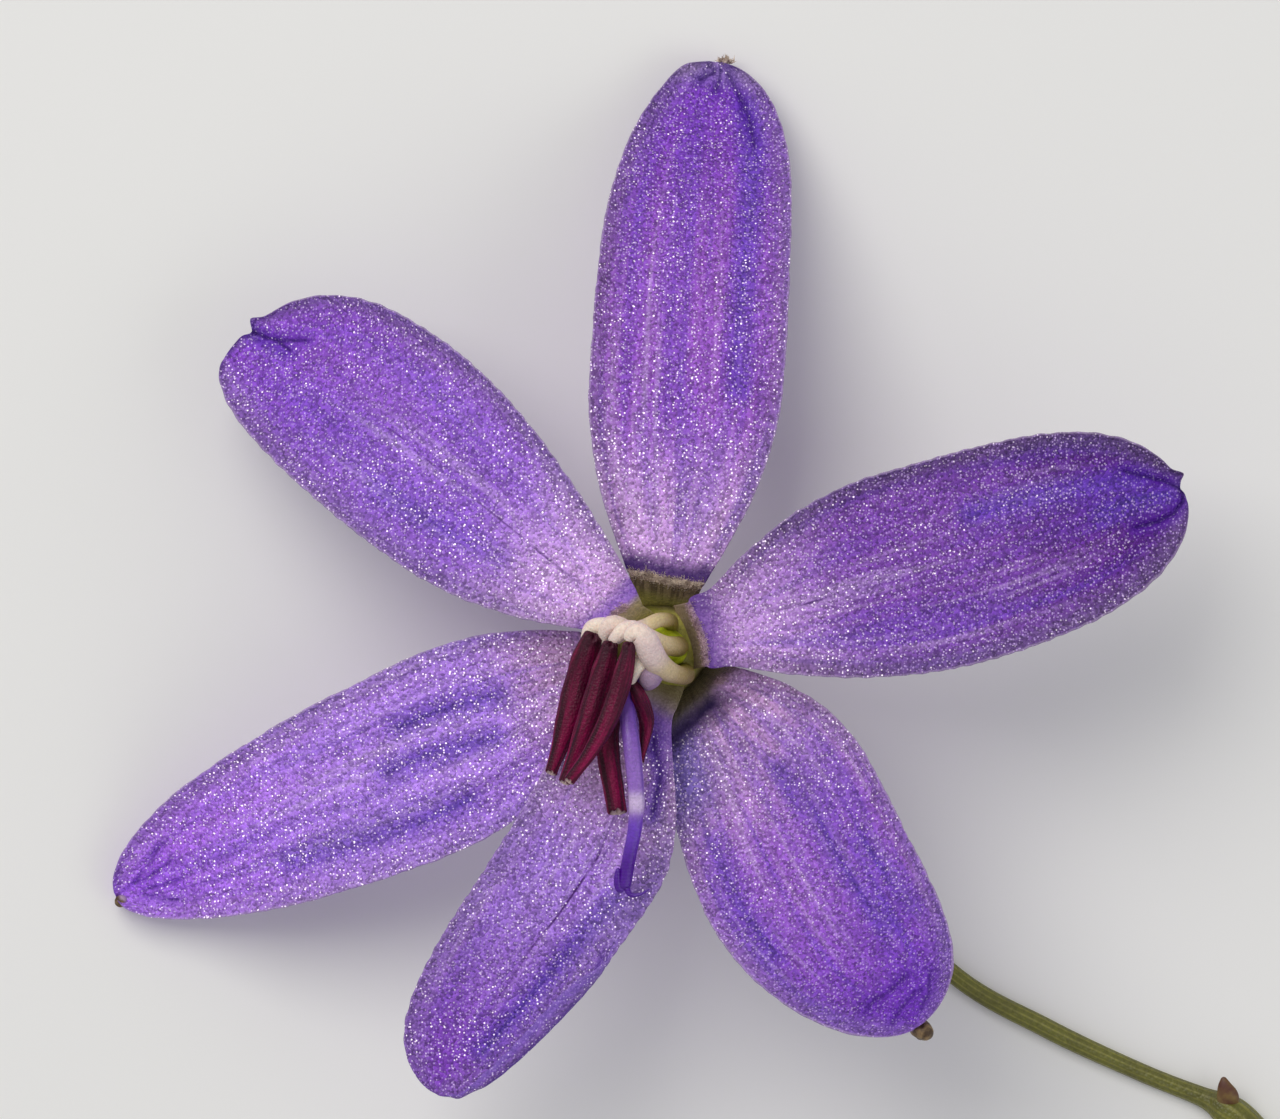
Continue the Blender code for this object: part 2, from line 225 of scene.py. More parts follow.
def tube_surface(path, radius, profile, first_side, ahead_shift=None):
    """A profile carried along a path without twist, scaled by the radius, each end closed by a fan.

    ahead_shift moves single points of the rings forward along the path."""
    heading = unit(np.gradient(path, axis=0))
    side = np.array(first_side, float)
    sides = []
    for ahead in heading:
        side = unit(side - ahead * (side @ ahead))
        sides.append(side)
    side = np.array(sides)
    beside = np.cross(heading, side)
    flat = radius[:, None, None] * profile
    grid = path[:, None] + flat[..., :1] * side[:, None] + flat[..., 1:] * beside[:, None]
    if ahead_shift is not None:
        grid = grid + ahead_shift[..., None] * heading[:, None]
    rings, count = grid.shape[:2]
    number = np.arange(rings * count).reshape(rings, count)
    following = np.roll(number, -1, axis=1)
    walls = quads(number, following).reshape(-1, 4)
    start = np.full(count, rings * count)
    first = np.stack([start, following[0], number[0]], axis=-1)
    last = np.stack([start + 1, number[-1], following[-1]], axis=-1)
    points = np.concatenate([grid.reshape(-1, 3), grid[0].mean(0)[None], grid[-1].mean(0)[None]])
    run = run_along(path)
    place = np.stack(np.meshgrid(np.arange(count + 1) / count, run / run[-1]), axis=-1)
    near, far = place[:, :-1], place[:, 1:]
    corners = [
        quads(near, far),
        np.stack([near[0], far[0], near[0]], axis=1),
        np.stack([near[-1], near[-1], far[-1]], axis=1),
    ]
    corners = np.concatenate([part.reshape(-1, 2) for part in corners])
    return Surface(points, walls.tolist() + first.tolist() + last.tolist(), corners)


def tube(points, radii, rings, sides, rounding, first_side=UP, swell=None):
    """A tube along a smooth line, its ends rounded off over the given lengths.

    swell gives each point's share of the radius from its angle and its ring's number."""
    path, radius = route(points, radii, rings, rounding)
    profile, angle = section(sides)
    if swell:
        profile = profile * swell(angle, np.arange(rings)[:, None])[..., None]
    return tube_surface(path, radius, profile, first_side)


def cone_surface(roots, tips, thickness, sides=4):
    """Many hairs at once: each a cone of a few sides from its root to its tip."""
    ahead = unit(tips - roots)
    side = unit(np.cross(ahead, [0.3, 0.2, 1.0]))
    beside = np.cross(ahead, side)
    profile, _ = section(sides)
    ring = profile[:, :1] * side[:, None] + profile[:, 1:] * beside[:, None]
    ring = roots[:, None] + thickness[:, None, None] * ring
    points = np.concatenate([ring, tips[:, None]], axis=1)
    first = (np.arange(len(roots)) * (sides + 1))[:, None]
    k = np.arange(sides)[None]
    walls = np.stack(np.broadcast_arrays(first + k, first + (k + 1) % sides, first + sides), axis=-1)
    feet = (first + k)[:, ::-1]
    wall_corners = np.tile([[0, 0], [1, 0], [0.5, 1]], (len(roots) * sides, 1))
    corners = np.vstack([wall_corners, np.zeros((feet.size, 2))])
    return Surface(points.reshape(-1, 3), walls.reshape(-1, 3).tolist() + feet.tolist(), corners)


# Shader maths


class Value:
    """A socket that carries numbers: its operators add Math nodes to the socket's own finish."""

    def __init__(self, finish, socket):
        self.finish = finish
        self.socket = socket

    def __add__(self, other):
        return self.finish.math("ADD", self, other)

    def __sub__(self, other):
        return self.finish.math("SUBTRACT", self, other)

    def __rsub__(self, other):
        return self.finish.math("SUBTRACT", other, self)

    def __mul__(self, other):
        return self.finish.math("MULTIPLY", self, other)

    def __abs__(self):
        return self.finish.math("ABSOLUTE", self)

    __radd__ = __add__
    __rmul__ = __mul__

    def sine(self):
        return self.finish.math("SINE", self)

    def between(self, low, high):
        """0 up to low and 1 from high, or the other way where low is the greater, smooth between them."""
        settings = {"interpolation_type": "SMOOTHSTEP"}
        sockets = {"Value": self, "From Min": low, "From Max": high}
        return Value(self.finish, self.finish.node("ShaderNodeMapRange", settings, sockets)["Result"])

    def peak(self, middle, width):
        """1 where the value is the middle, falling smoothly to 0 at the width's distance."""
        return abs(self - middle).between(width, 0.0)


class Finish:
    """One material: a Principled shader, the tint laid on so far, and short calls for the nodes.

    A colour is a link or a tuple of three parts as a screen shows them."""

    def __init__(self, name, tint, **constants):
        self.tint = tint
        self.material = bpy.data.materials.new(name)
        self.material.use_nodes = True
        self.tree = self.material.node_tree
        self.shader = self.tree.nodes["Principled BSDF"]
        for socket, value in constants.items():
            self.shader.inputs[socket.replace("_", " ").title().replace("Ior", "IOR")].default_value = value

    def feed(self, inputs, key, source):
        """Gives a node's input its link, number or colour."""
        source = linear(source.socket if isinstance(source, Value) else source)
        if isinstance(source, bpy.types.NodeSocket):
            self.tree.links.new(source, inputs[key])
        else:
            inputs[key].default_value = source

    def node(self, kind, settings=None, sockets=None):
        """A node of any kind: its settings first, then each socket's value or link. Gives its outputs."""
        made = self.tree.nodes.new(kind)
        for name, value in (settings or {}).items():
            setattr(made, name, value)
        for key, source in (sockets or {}).items():
            self.feed(made.inputs, key, source)
        return made.outputs

    def math(self, operation, *values):
        made = self.node("ShaderNodeMath", {"operation": operation}, dict(enumerate(values)))
        return Value(self, made[0])

    @cached_property
    def own_place(self):
        """The piece's UV map: X runs round it or across it, and Y along it."""
        uv = self.node("ShaderNodeUVMap", {"uv_map": "place"})
        return self.node("ShaderNodeSeparateXYZ", None, {0: uv["UV"]})

    @property
    def u(self):
        return Value(self, self.own_place["X"])

    @property
    def along(self):
        return Value(self, self.own_place["Y"])

    @cached_property
    def room(self):
        """Object coordinates, in metres."""
        return self.node("ShaderNodeTexCoord")["Object"]

    def field(self, name):
        return Value(self, self.node("ShaderNodeAttribute", {"attribute_name": name})["Fac"])

    def vector(self, x, y, z=0.0):
        return self.node("ShaderNodeCombineXYZ", None, {"X": x, "Y": y, "Z": z})[0]

    def noise(self, scale, detail, vector=None):
        """Soft noise through the room, or along a vector of its own."""
        sockets = {"Vector": vector or self.room, "Scale": scale, "Detail": detail}
        return Value(self, self.node("ShaderNodeTexNoise", None, sockets)["Fac"])

    def cells(self, scale):
        """Voronoi cells: the distance to each cell's middle, in cell widths, and a random value for it."""
        made = self.node("ShaderNodeTexVoronoi", None, {"Vector": self.room, "Scale": scale})
        parts = self.node("ShaderNodeSeparateColor", None, {0: made["Color"]})
        return Value(self, made["Distance"]), Value(self, parts["Red"])

    def mix(self, first, second, factor):
        """A colour between two: the first where the factor is 0, the second where it is 1."""
        settings = {"data_type": "RGBA", "clamp_factor": True}
        return self.node("ShaderNodeMix", settings, {0: factor, 6: first, 7: second})[2]

    def shaded(self, tint, strength):
        """A colour made lighter or darker by a value."""
        return self.node("ShaderNodeVectorMath", {"operation": "SCALE"}, {0: tint, "Scale": strength})[0]

    def coat(self, tint, factor):
        """Lays a colour over the tint so far, as fully as the factor says."""
        self.tint = self.mix(self.tint, tint, factor)

    def shade(self, strength):
        """Makes the tint so far lighter or darker by a value."""
        self.tint = self.shaded(self.tint, strength)

    def grain(self, scale, darkest, spread):
        """Shades tiny cells by chance, from the darkest up over a spread, and gives their relief."""
        distance, chance = self.cells(scale)
        self.shade(darkest + chance * spread)
        return distance * -1.0

    def finished(self, roughness, height=None, bump=0.0):
        """Feeds the shader its tint, roughness and bump, and gives the material."""
        self.feed(self.shader.inputs, "Base Color", self.tint)
        self.feed(self.shader.inputs, "Roughness", roughness)
        if height is not None:
            raised = self.node("ShaderNodeBump", None, {"Distance": bump, "Height": height})
            self.feed(self.shader.inputs, "Normal", raised[0])
        return self.material


def flesh(weight, radius, scale):
    """The shader's constants for flesh that light sinks into."""
    return {"subsurface_weight": weight, "subsurface_radius": radius, "subsurface_scale": scale}


# Tepal colours
BLUE_VIOLET = (98, 60, 182)
RED_VIOLET = (140, 76, 178)
PALE_LILAC = (212, 182, 230)
FLECK_LILAC = (218, 184, 252)
CREASE_SHADOW = (42, 6, 96)
CREASE_SHADE = (88, 30, 170)
BAND_VIOLET = (72, 48, 150)
SHADOW_BLUE = (92, 84, 178)
MARGIN_LILAC = (188, 166, 204)
MARGIN_GREY = (150, 124, 178)
ROLL_SHADE = (74, 24, 150)
ROLL_LIGHT = (120, 84, 200)
BLACK = (0, 0, 0)
# Painted glints: white and lilac dots that stand for light caught on the tepals' cells
PAINTED_GLINT = (255, 240, 255)
PAINTED_GLINT_LILAC = (246, 222, 255)
VEIN_VIOLET = (74, 28, 112)
FUZZ_BEIGE = (196, 176, 158)
FUZZ_BROWN = (126, 104, 92)
FUZZ_MAUVE = (206, 172, 184)
FUZZ_PLUM = (142, 110, 128)


class Look:
    """A tepal's colours and the strengths of its markings.

    base, middle and end are its colours near the root, half way and at the tip, the pale base partly
    a painted sheen, and base_reach is how many millimetres the first takes to give way. claw has the
    claw's dark stripe, light stripe and inner end. streaks, stripes, bands, creases, vein and blue are
    strengths: of the lengthwise streaks, of the claw's stripes, of the darker bands, partly painted
    shade in the folds, of the painted shade along the creases, of the vein, and of the painted blue
    shadow by the right margin's root. painted_glints is the strength of the painted white glints near
    the root and towards the tip, and sides how much painted shade darkens the left and right sides.
    shade is the dark tint beyond the ridge, partly the tepal's own deep violet and partly painted
    shadow, its strength and its reach, and shade_side the places across where it is weakest and full.
    edge is where the claw's colour ends and the blade's begins, tip_pale how pale the tip is, and fuzz
    the felt's two tints and its strength.
    """

    base_reach = 6.0
    streaks = 0.35
    stripes = 0.3
    vein = 0.0
    blue = 0.0
    shade_side = None
    edge = (0.06, -0.06)
    tip_pale = 0.0
    fuzz = (FUZZ_MAUVE, FUZZ_PLUM, 0.6)

    def __init__(self, **own):
        vars(self).update(own)


# The depth and width of the line that each kind of mark presses into a tepal
MARKS = {"vein": (0.05, 0.11), "crease": (0.13, 0.1), "band": (0.07, 0.3)}


class Tepal:
    """One tepal: its shape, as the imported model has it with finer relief, and its own look.

    root and tip are the ends of the middle line, bow and sway its bends, to the left.
    left and right are each side's greatest width, how far along that is, and how blunt it ends.
    neck is the share of that width at the root, swell how fast it grows, flare what the root has
    more on its left and right. heights are those of the middle line at the root, the ridge, a third
    and two thirds of the way on, and the tip. cup raises the margins, hood the stretch before the tip.
    The ridge stands where the claw ends: it slants and curves across, and claw is the claw's length.
    A roll is a margin's turn, in radians, how far along it starts, and the width it takes.
    Lobes lengthen the tip: each has its place to the left, its width and its length.
    Veins, creases and darker bands are lines in the flower's plan. fuzz is the number of hairs on
    the ridge and the stretch across that they stand on.
    """

    bow = 0.0
    sway = 0.0
    neck = 0.2
    swell = 0.85
    flare = (0.0, 0.0)
    claw = 0.05
    ridge_at = 0.05
    ridge_height = 0.3
    ridge_slant = 0.0
    ridge_curve = 0.0
    cup = 0.2
    hood = 0.5
    gutter = 0.15
    rib_height = 0.0
    rib_count = 7
    wave_height = 0.0
    scallop = 0.008
    tip_folds = 0.0
    rest_pad = 0.0
    left_roll = (0.4, 0.3, 0.6)
    right_roll = (0.4, 0.3, 0.6)
    lobes = ()
    veins = ()
    fuzz = (0, 0.0, 0.0)
    start = -0.03
    end = 0.9994

    def __init__(self, name, root, tip, left, right, heights, **own):
        self.name = name
        self.root = np.array(root)
        self.tip = np.array(tip)
        self.left = left
        self.right = right
        self.heights = heights
        vars(self).update(own)
        self.length = np.linalg.norm(self.tip - self.root)
        self.ahead = unit(self.tip - self.root)
        self.left_way = np.array([-self.ahead[1], self.ahead[0]])
        self.phase = np.random.default_rng(SEED + len(name)).uniform(0, 2 * np.pi, 3)

    def half_width(self, along, across):
        """It swells from the neck as a sine, then closes to the tip as a blunt oval. The flare widens
        the root."""
        greatest, widest_at, bluntness = by_side(across, self.left, self.right)
        rising = np.sin(np.pi / 2 * np.clip(along / widest_at, 0, 1)) ** self.swell
        past = np.clip((along - widest_at) / (1 - widest_at), 0, 1)
        closing = np.sqrt(1 - past**bluntness)
        width = greatest * np.where(along < widest_at, self.neck + (1 - self.neck) * rising, closing)
        return width + np.where(across < 0, *self.flare) * bell(np.maximum(along, 0), 0, 0.032)

    def middle_height(self, along):
        """A sine rise up the claw to the ridge, then one cubic Bezier curve of heights to the tip."""
        root, ridge, near, far, tip = self.heights
        climbed = np.clip(1 + (along - self.ridge_at) / self.claw, -1, 1)
        claw = root + (ridge - root) * np.sin(np.pi / 2 * climbed)
        t = np.clip((along - self.ridge_at) / (1 - self.ridge_at), 0, 1)
        blade = ridge * (1 - t) ** 3 + 3 * near * t * (1 - t) ** 2
        blade += 3 * far * t**2 * (1 - t) + tip * t**3
        return np.where(along < self.ridge_at, claw, blade)

    def ridge_line(self, across):
        return self.ridge_at + self.ridge_slant * across + self.ridge_curve * across**2

    def relief(self, along, across):
        """Added to the middle height: cup, hood, gutter, ridge, nerves, margin waves and slow swells."""
        on_blade = np.clip((along - self.ridge_at) / 0.12, 0, 1)
        to_tip = np.clip((along - 0.86) / 0.14, 0, 1)
        fade = on_blade * np.clip((1 - along) / 0.1, 0, 1)
        cup = self.cup * on_blade * across**2
        hood = self.hood * to_tip**2 * (1 + 0.3 * across**2)
        gutter = self.gutter * (1 - on_blade) * across**2
        ridge = self.ridge_height * bell((along - self.ridge_line(across)) * self.length, 0, 0.2)
        drift = 0.05 * np.sin(9 * along + 4 * across) + 0.04 * np.sin(21 * along + self.phase[0])
        ribs = self.rib_height * np.cos(self.rib_count * np.pi * (across + drift)) * fade
        ribs *= 0.6 + 0.4 * np.sin(13 * along + 6 * across)
        fine = 0.25 * self.rib_height * np.cos(3.1 * self.rib_count * np.pi * (across - drift)) * fade
        turns = 34 * along + 2.6 * np.sin(8 * along + self.phase[1]) + 2 * across
        wave = self.wave_height * np.sin(turns) * np.abs(across) ** 3 * fade
        swells = 0.07 * np.sin(7 * along + self.phase[0]) * np.sin(2.4 * across + self.phase[1])
        swells += 0.025 * np.sin(31 * along + 3 * across + self.phase[2]) * np.cos(5 * across)
        return cup + hood + gutter + ridge + ribs + fine + wave + swells * fade

    def rolled(self, along, across, half):
        """A margin's reach and lift: flat to a line near the margin, then turned up round a circle.

        The circle's radius is the turned width over the turn, so the outline stays where it was."""
        turn, begins, width = by_side(across, self.left_roll, self.right_roll)
        turn = np.maximum(turn * smoothstep(along, begins, begins + 0.25), 0.02)
        radius = np.minimum(width, 0.45 * half) / turn
        flat_reach = half - radius * np.sin(np.minimum(turn, np.pi / 2))
        flat_share = 0.7
        out = np.abs(across)
        u = np.clip((out - flat_share) / (1 - flat_share), 0, 1)
        curled = flat_reach + radius * np.sin(u * turn)
        reach = np.where(out < flat_share, out / flat_share * flat_reach, curled)
        return reach, radius * (1 - np.cos(u * turn))

    def surface(self, along, across):
        """The upper face: a point along the middle line, moved sideways to the place across it."""
        bend = self.bow * np.sin(np.pi * along) + self.sway * np.sin(2 * np.pi * along)
        scallops = np.sin(2 * np.pi * self.length * along / 0.52 + 3 * np.sin(11 * along))
        scallops += 0.6 * np.sin(2 * np.pi * self.length * along / 0.83 + 2)
        margin = smoothstep(along, 0.08, 0.2) * self.scallop * scallops * np.abs(across) ** 6
        reach, lift = self.rolled(along, across, self.half_width(along, across))
        reach = np.where(across < 0, 1, -1) * (reach + margin)
        forward = along * self.length
        for place, width, longer in self.lobes:
            forward = forward + longer * bell(reach, place, width) * smoothstep(along, 0.88, 0.97)
        spot = self.root + forward[..., None] * self.ahead + (bend + reach)[..., None] * self.left_way
        height = self.middle_height(along) + self.relief(along, across) + lift
        height = height + self.folds(along, reach)
        for kind, (depth, width) in MARKS.items():
            for line in getattr(self, kind + "s"):
                height = height - depth * bell(distance_to_line(spot, line), 0, width)
        return np.concatenate([spot, height[..., None]], axis=-1)

    def folds(self, along, reach):
        """Small folds that run together at the tip: a sine of the angle round it, within 1.6 mm of it."""
        back = (1.01 - along) * self.length
        away = np.hypot(back, reach)
        angle = np.arctan2(reach, back)
        near = smoothstep(away, 1.6, 0.6) * smoothstep(away, 0.15, 0.45)
        return self.tip_folds * near * np.sin(10 * angle + 1.2 * np.sin(4 * angle))

    def grid(self):
        """Places along, closer on the claw and towards the tip, and evenly across."""
        blade_start = self.ridge_at + 0.05
        claw = np.linspace(self.start, blade_start, TEPAL_ROWS // 5, endpoint=False)
        t = np.linspace(0, 1, TEPAL_ROWS - len(claw))
        blade = blade_start + (self.end - blade_start) * np.sin(np.pi / 2 * t) ** 1.1
        along = np.concatenate([claw, blade])
        return np.meshgrid(along, np.linspace(-1, 1, TEPAL_COLUMNS), indexing="ij")

    def thickness(self, along, across):
        """Thin at the margins, thicker in the middle, and with a pad under the tip that it rests on."""
        thin = 0.06 + 0.24 * (1 - across**4)
        pad = smoothstep(along, 0.84, 0.92) * smoothstep(along, 1.0, 0.97)
        return thin + self.rest_pad * pad * (1 - smoothstep(np.abs(across), 0.3, 0.8))

    def add_blade(self, slot):
        """The upper face, and the lower one set in along its normals, no lower than the surface it rests on.

        Towards the tip the lower face is set in straight down."""
        along, across = self.grid()
        upper = self.surface(along, across)
        normal = unit(np.cross(np.gradient(upper, axis=1), np.gradient(upper, axis=0)))
        begins = 0.82 if self.rest_pad else 0.9
        upright = smoothstep(along, begins, begins + 0.08)[..., None]
        normal = unit(normal * (1 - upright) + np.array(UP) * upright)
        lower = upper - self.thickness(along, across)[..., None] * normal
        lower[..., 2] = np.maximum(lower[..., 2], 0.0)
        fields = {f"from_{kind}": self.gap_to(kind, upper) for kind in MARKS}
        fields["beyond_ridge"] = (along - self.ridge_line(across)) * self.length
        fields["from_margin"] = (1 - np.abs(across)) * self.half_width(along, across)
        blade = sheet_surface(upper, lower, along, across, fields)
        blade.add(self.name + "_blade", tepal_finish(self), slot, self.name)

    def gap_to(self, kind, upper):
        """The distance of each point to the nearest mark of a kind, or a long one where there is none."""
        gaps = [distance_to_line(upper[..., :2], line) for line in getattr(self, kind + "s")]
        return np.min(gaps, axis=0) if gaps else np.full(upper.shape[:2], 9.0)


OUTER = {"rib_height": 0.03}
INNER = {"wave_height": 0.08, "hood": 0.3, "scallop": 0.015}

TEPALS = [
    Tepal(
        "outer_tepal_top", (0.1, 1.4), (1.72, 19.07), (3.15, 0.4, 3.1), (3.1, 0.45, 4.3),
        (5.2, 6.4, 7.2, 5.0, -0.48), sway=-0.1, neck=0.19, flare=(0.35, 0.2), hood=1.0, tip_folds=0.05,
        rest_pad=0.36, ridge_at=0.0455, ridge_slant=-0.006, ridge_curve=0.004,
        creases=[[(1.91, 18.78), (1.84, 18.4), (1.76, 18.1)],
                 [(2.13, 18.7), (2.32, 18.33), (2.6, 17.8), (2.86, 17.1), (3.0, 16.3)],
                 [(1.69, 18.7), (1.24, 18.48)]],
        bands=[[(2.75, 17.6), (3.0, 16.4), (2.95, 14.8), (2.7, 12.6), (2.5, 10.0), (2.45, 8.4)]],
        lobes=[(1.05, 0.45, 0.14)], fuzz=(1500, -0.97, 0.97), **OUTER,
        look=Look(
            base=(216, 168, 234), middle=(152, 86, 196), end=(122, 60, 186),
            claw=[(88, 74, 58), (150, 134, 104), (204, 200, 108)], streaks=0.4, stripes=0.7,
            bands=0.7, creases=0.8, painted_glints=(1.45, 1.0), sides=(0.3, 0.2),
            shade=[(52, 16, 98), 0.9, (1.2, 0.35)], tip_pale=0.55, fuzz=(FUZZ_BEIGE, FUZZ_BROWN, 1.0),
        ),
    ),
    Tepal(
        "outer_tepal_lower_left", (-1.2, -0.35), (-17.7, -8.05), (3.15, 0.38, 1.6), (3.15, 0.35, 2.5),
        (5.2, 6.4, 6.6, 4.6, -0.48), bow=0.15, neck=0.15, swell=0.68, flare=(0.2, 0.3), hood=1.0,
        tip_folds=0.04, rest_pad=0.36, rib_height=0.05,
        bands=[[(-8.5, -2.5), (-7.2, -1.95), (-5.3, -1.5)], [(-8.9, -3.9), (-7.6, -3.4), (-5.4, -2.8)],
               [(-12.0, -6.9), (-10.6, -6.5), (-8.15, -5.7), (-6.2, -4.8)]],
        creases=[[(-17.1, -7.6), (-16.6, -6.95), (-16.3, -6.4)],
                 [(-16.9, -7.6), (-16.2, -7.1), (-15.9, -6.8)],
                 [(-16.8, -7.8), (-16.1, -7.65), (-15.6, -7.5)],
                 [(-16.8, -7.95), (-16.2, -8.1), (-15.7, -8.1)]],
        fuzz=(150, -0.9, 0.9),
        look=Look(
            base=(202, 156, 208), middle=(184, 134, 242), end=(183, 111, 250),
            claw=[(60, 52, 40), (118, 106, 80), (130, 130, 60)], streaks=0.45, stripes=0.4,
            bands=0.66, creases=0.45, painted_glints=(1.55, 2.3), base_reach=4.2, sides=(0.1, 0.12),
            shade=[(84, 44, 140), 0.3, (0.5, 0.12)],
        ),
    ),
    Tepal(
        "outer_tepal_lower_right", (0.95, -0.95), (8.15, -12.1), (3.5, 0.41, 3.6), (3.45, 0.51, 1.75),
        (5.2, 6.3, 6.0, 8.8, 11.5), bow=-0.25, sway=0.2, neck=0.14, swell=0.62, flare=(0.25, 0.1),
        ridge_at=0.049, ridge_slant=0.015, ridge_height=0.12, tip_folds=0.04,
        creases=[[(7.38, -11.95), (7.65, -11.52), (8.14, -10.97), (8.35, -10.9)],
                 [(6.5, -11.6), (6.75, -11.3), (7.3, -10.95), (7.87, -10.43)],
                 [(8.3, -11.5), (8.55, -11.0), (8.6, -10.3)]],
        bands=[[(3.9, -3.8), (5.0, -5.4), (5.75, -6.9), (6.6, -8.0), (7.2, -8.8)],
               [(6.4, -6.1), (7.2, -7.1), (8.0, -8.2)], [(1.7, -6.2), (2.6, -8.4), (3.6, -9.8)]],
        fuzz=(70, -0.7, -0.5), **OUTER,
        look=Look(
            base=(208, 160, 215), middle=(149, 91, 200), end=(109, 51, 179),
            claw=[(74, 66, 46), (122, 112, 84), (112, 112, 56)], streaks=0.5, stripes=0.35,
            bands=0.55, creases=0.65, painted_glints=(0.82, 0.22), blue=0.8, sides=(0.15, 0.1),
            shade=[(36, 12, 66), 0.92, (1.35, 0.5)], shade_side=(-0.65, 0.0), edge=(0.45, -0.35),
        ),
    ),
    Tepal(
        "inner_tepal_upper_left", (-0.95, 0.9), (-14.2, 9.4), (2.6, 0.47, 2.0), (4.1, 0.67, 3.0),
        (6.1, 7.4, 8.8, 6.2, 2.6), bow=-0.15, sway=0.1, neck=0.15, swell=0.9, flare=(0.2, 0.0),
        claw=0.07, ridge_at=0.038, ridge_slant=-0.02, ridge_height=0.08,
        veins=[[(-2.2, 1.85), (-3.03, 2.42), (-4.23, 3.39), (-6.39, 5.16), (-8.03, 6.52), (-10.7, 8.7)]],
        creases=[[(-13.35, 10.35), (-12.9, 10.12), (-12.45, 10.0), (-11.5, 10.0)],
                 [(-12.45, 10.0), (-12.0, 9.65)]],
        bands=[[(-9.2, 5.1), (-7.7, 4.2), (-6.4, 3.6), (-5.2, 2.9)], [(-13.2, 10.1), (-12.3, 9.6)]],
        lobes=[(-1.2, 0.15, -0.16), (-1.58, 0.17, 0.22)], fuzz=(170, -0.2, 0.5), **INNER,
        look=Look(
            base=(226, 178, 246), middle=(146, 94, 207), end=(136, 74, 198),
            claw=[(194, 178, 142), (224, 206, 178), (208, 196, 128)], bands=0.4, creases=1.0,
            vein=0.7, painted_glints=(1.15, 0.95), sides=(0.25, 0.3),
            shade=[(112, 64, 196), 0.7, (0.9, 0.1)], edge=(0.15, -0.15),
        ),
    ),
    Tepal(
        "inner_tepal_bottom", (-0.05, -1.3), (-7.3, -14.3), (2.65, 0.38, 1.6), (2.45, 0.25, 7.0),
        (6.2, 7.5, 8.0, 7.4, 7.0), bow=0.35, sway=0.15, neck=0.18, swell=1.45, flare=(0.22, 0.3),
        claw=0.08, ridge_height=0.0, left_roll=(3.7, 0.45, 1.2),
        veins=[[(-1.4, -4.4), (-1.55, -5.39), (-2.1, -6.74), (-3.35, -8.55), (-4.26, -9.65),
                (-4.81, -10.55), (-6.0, -12.6)]],
        bands=[[(-1.5, -8.0), (-2.9, -9.6), (-4.4, -11.4), (-5.8, -12.9)],
               [(-0.4, -2.8), (-0.1, -4.0), (-0.3, -5.4)]],
        creases=[[(-0.3, -2.9), (-0.05, -4.1), (-0.3, -5.2)]], lobes=[(0.75, 0.22, 0.2)], **INNER,
        look=Look(
            base=(210, 164, 209), middle=(159, 115, 213), end=(126, 64, 184),
            claw=[(150, 132, 134), (172, 152, 158), (150, 138, 100)], bands=0.7, creases=0.6,
            vein=1.0, painted_glints=(1.15, 1.1), sides=(0.15, 0.12),
            shade=[(104, 62, 180), 0.75, (1.9, 0.3)], edge=(0.15, -0.5),
        ),
    ),
    Tepal(
        "inner_tepal_right", (1.2, 0.3), (16.9, 4.9), (3.9, 0.43, 3.2), (2.8, 0.55, 3.0),
        (6.1, 7.4, 8.6, 7.8, 7.0), bow=-0.4, neck=0.2, swell=0.83, flare=(0.5, 0.3), claw=0.035,
        ridge_at=0.0068, ridge_curve=-0.01, ridge_height=0.2,
        veins=[[(2.0, 0.85), (2.45, 0.97), (5.9, 1.81), (7.81, 2.35), (10.9, 3.26), (13.9, 4.1)]],
        creases=[[(14.9, 5.75), (15.6, 5.58), (16.2, 5.43), (16.75, 5.17)],
                 [(16.75, 5.17), (16.8, 4.8), (16.49, 4.39), (15.97, 4.13), (15.28, 3.95)]],
        bands=[[(16.3, 5.0), (15.2, 4.8), (14.2, 4.4)],
               [(15.4, 5.5), (13.6, 5.25), (11.6, 4.85), (9.9, 4.4)]],
        lobes=[(0.35, 0.14, -0.08), (0.8, 0.17, 0.26)], fuzz=(480, -0.95, 0.95), **INNER,
        look=Look(
            base=(197, 151, 223), middle=(123, 69, 172), end=(79, 16, 128),
            claw=[(138, 118, 98), (168, 146, 124), (158, 144, 80)], bands=0.7, creases=1.0,
            vein=0.9, painted_glints=(0.82, 0.42), sides=(0.45, 0.4),
            shade=[(92, 48, 150), 0.75, (1.2, 0.2)], edge=(0.1, -0.1),
        ),
    ),
]


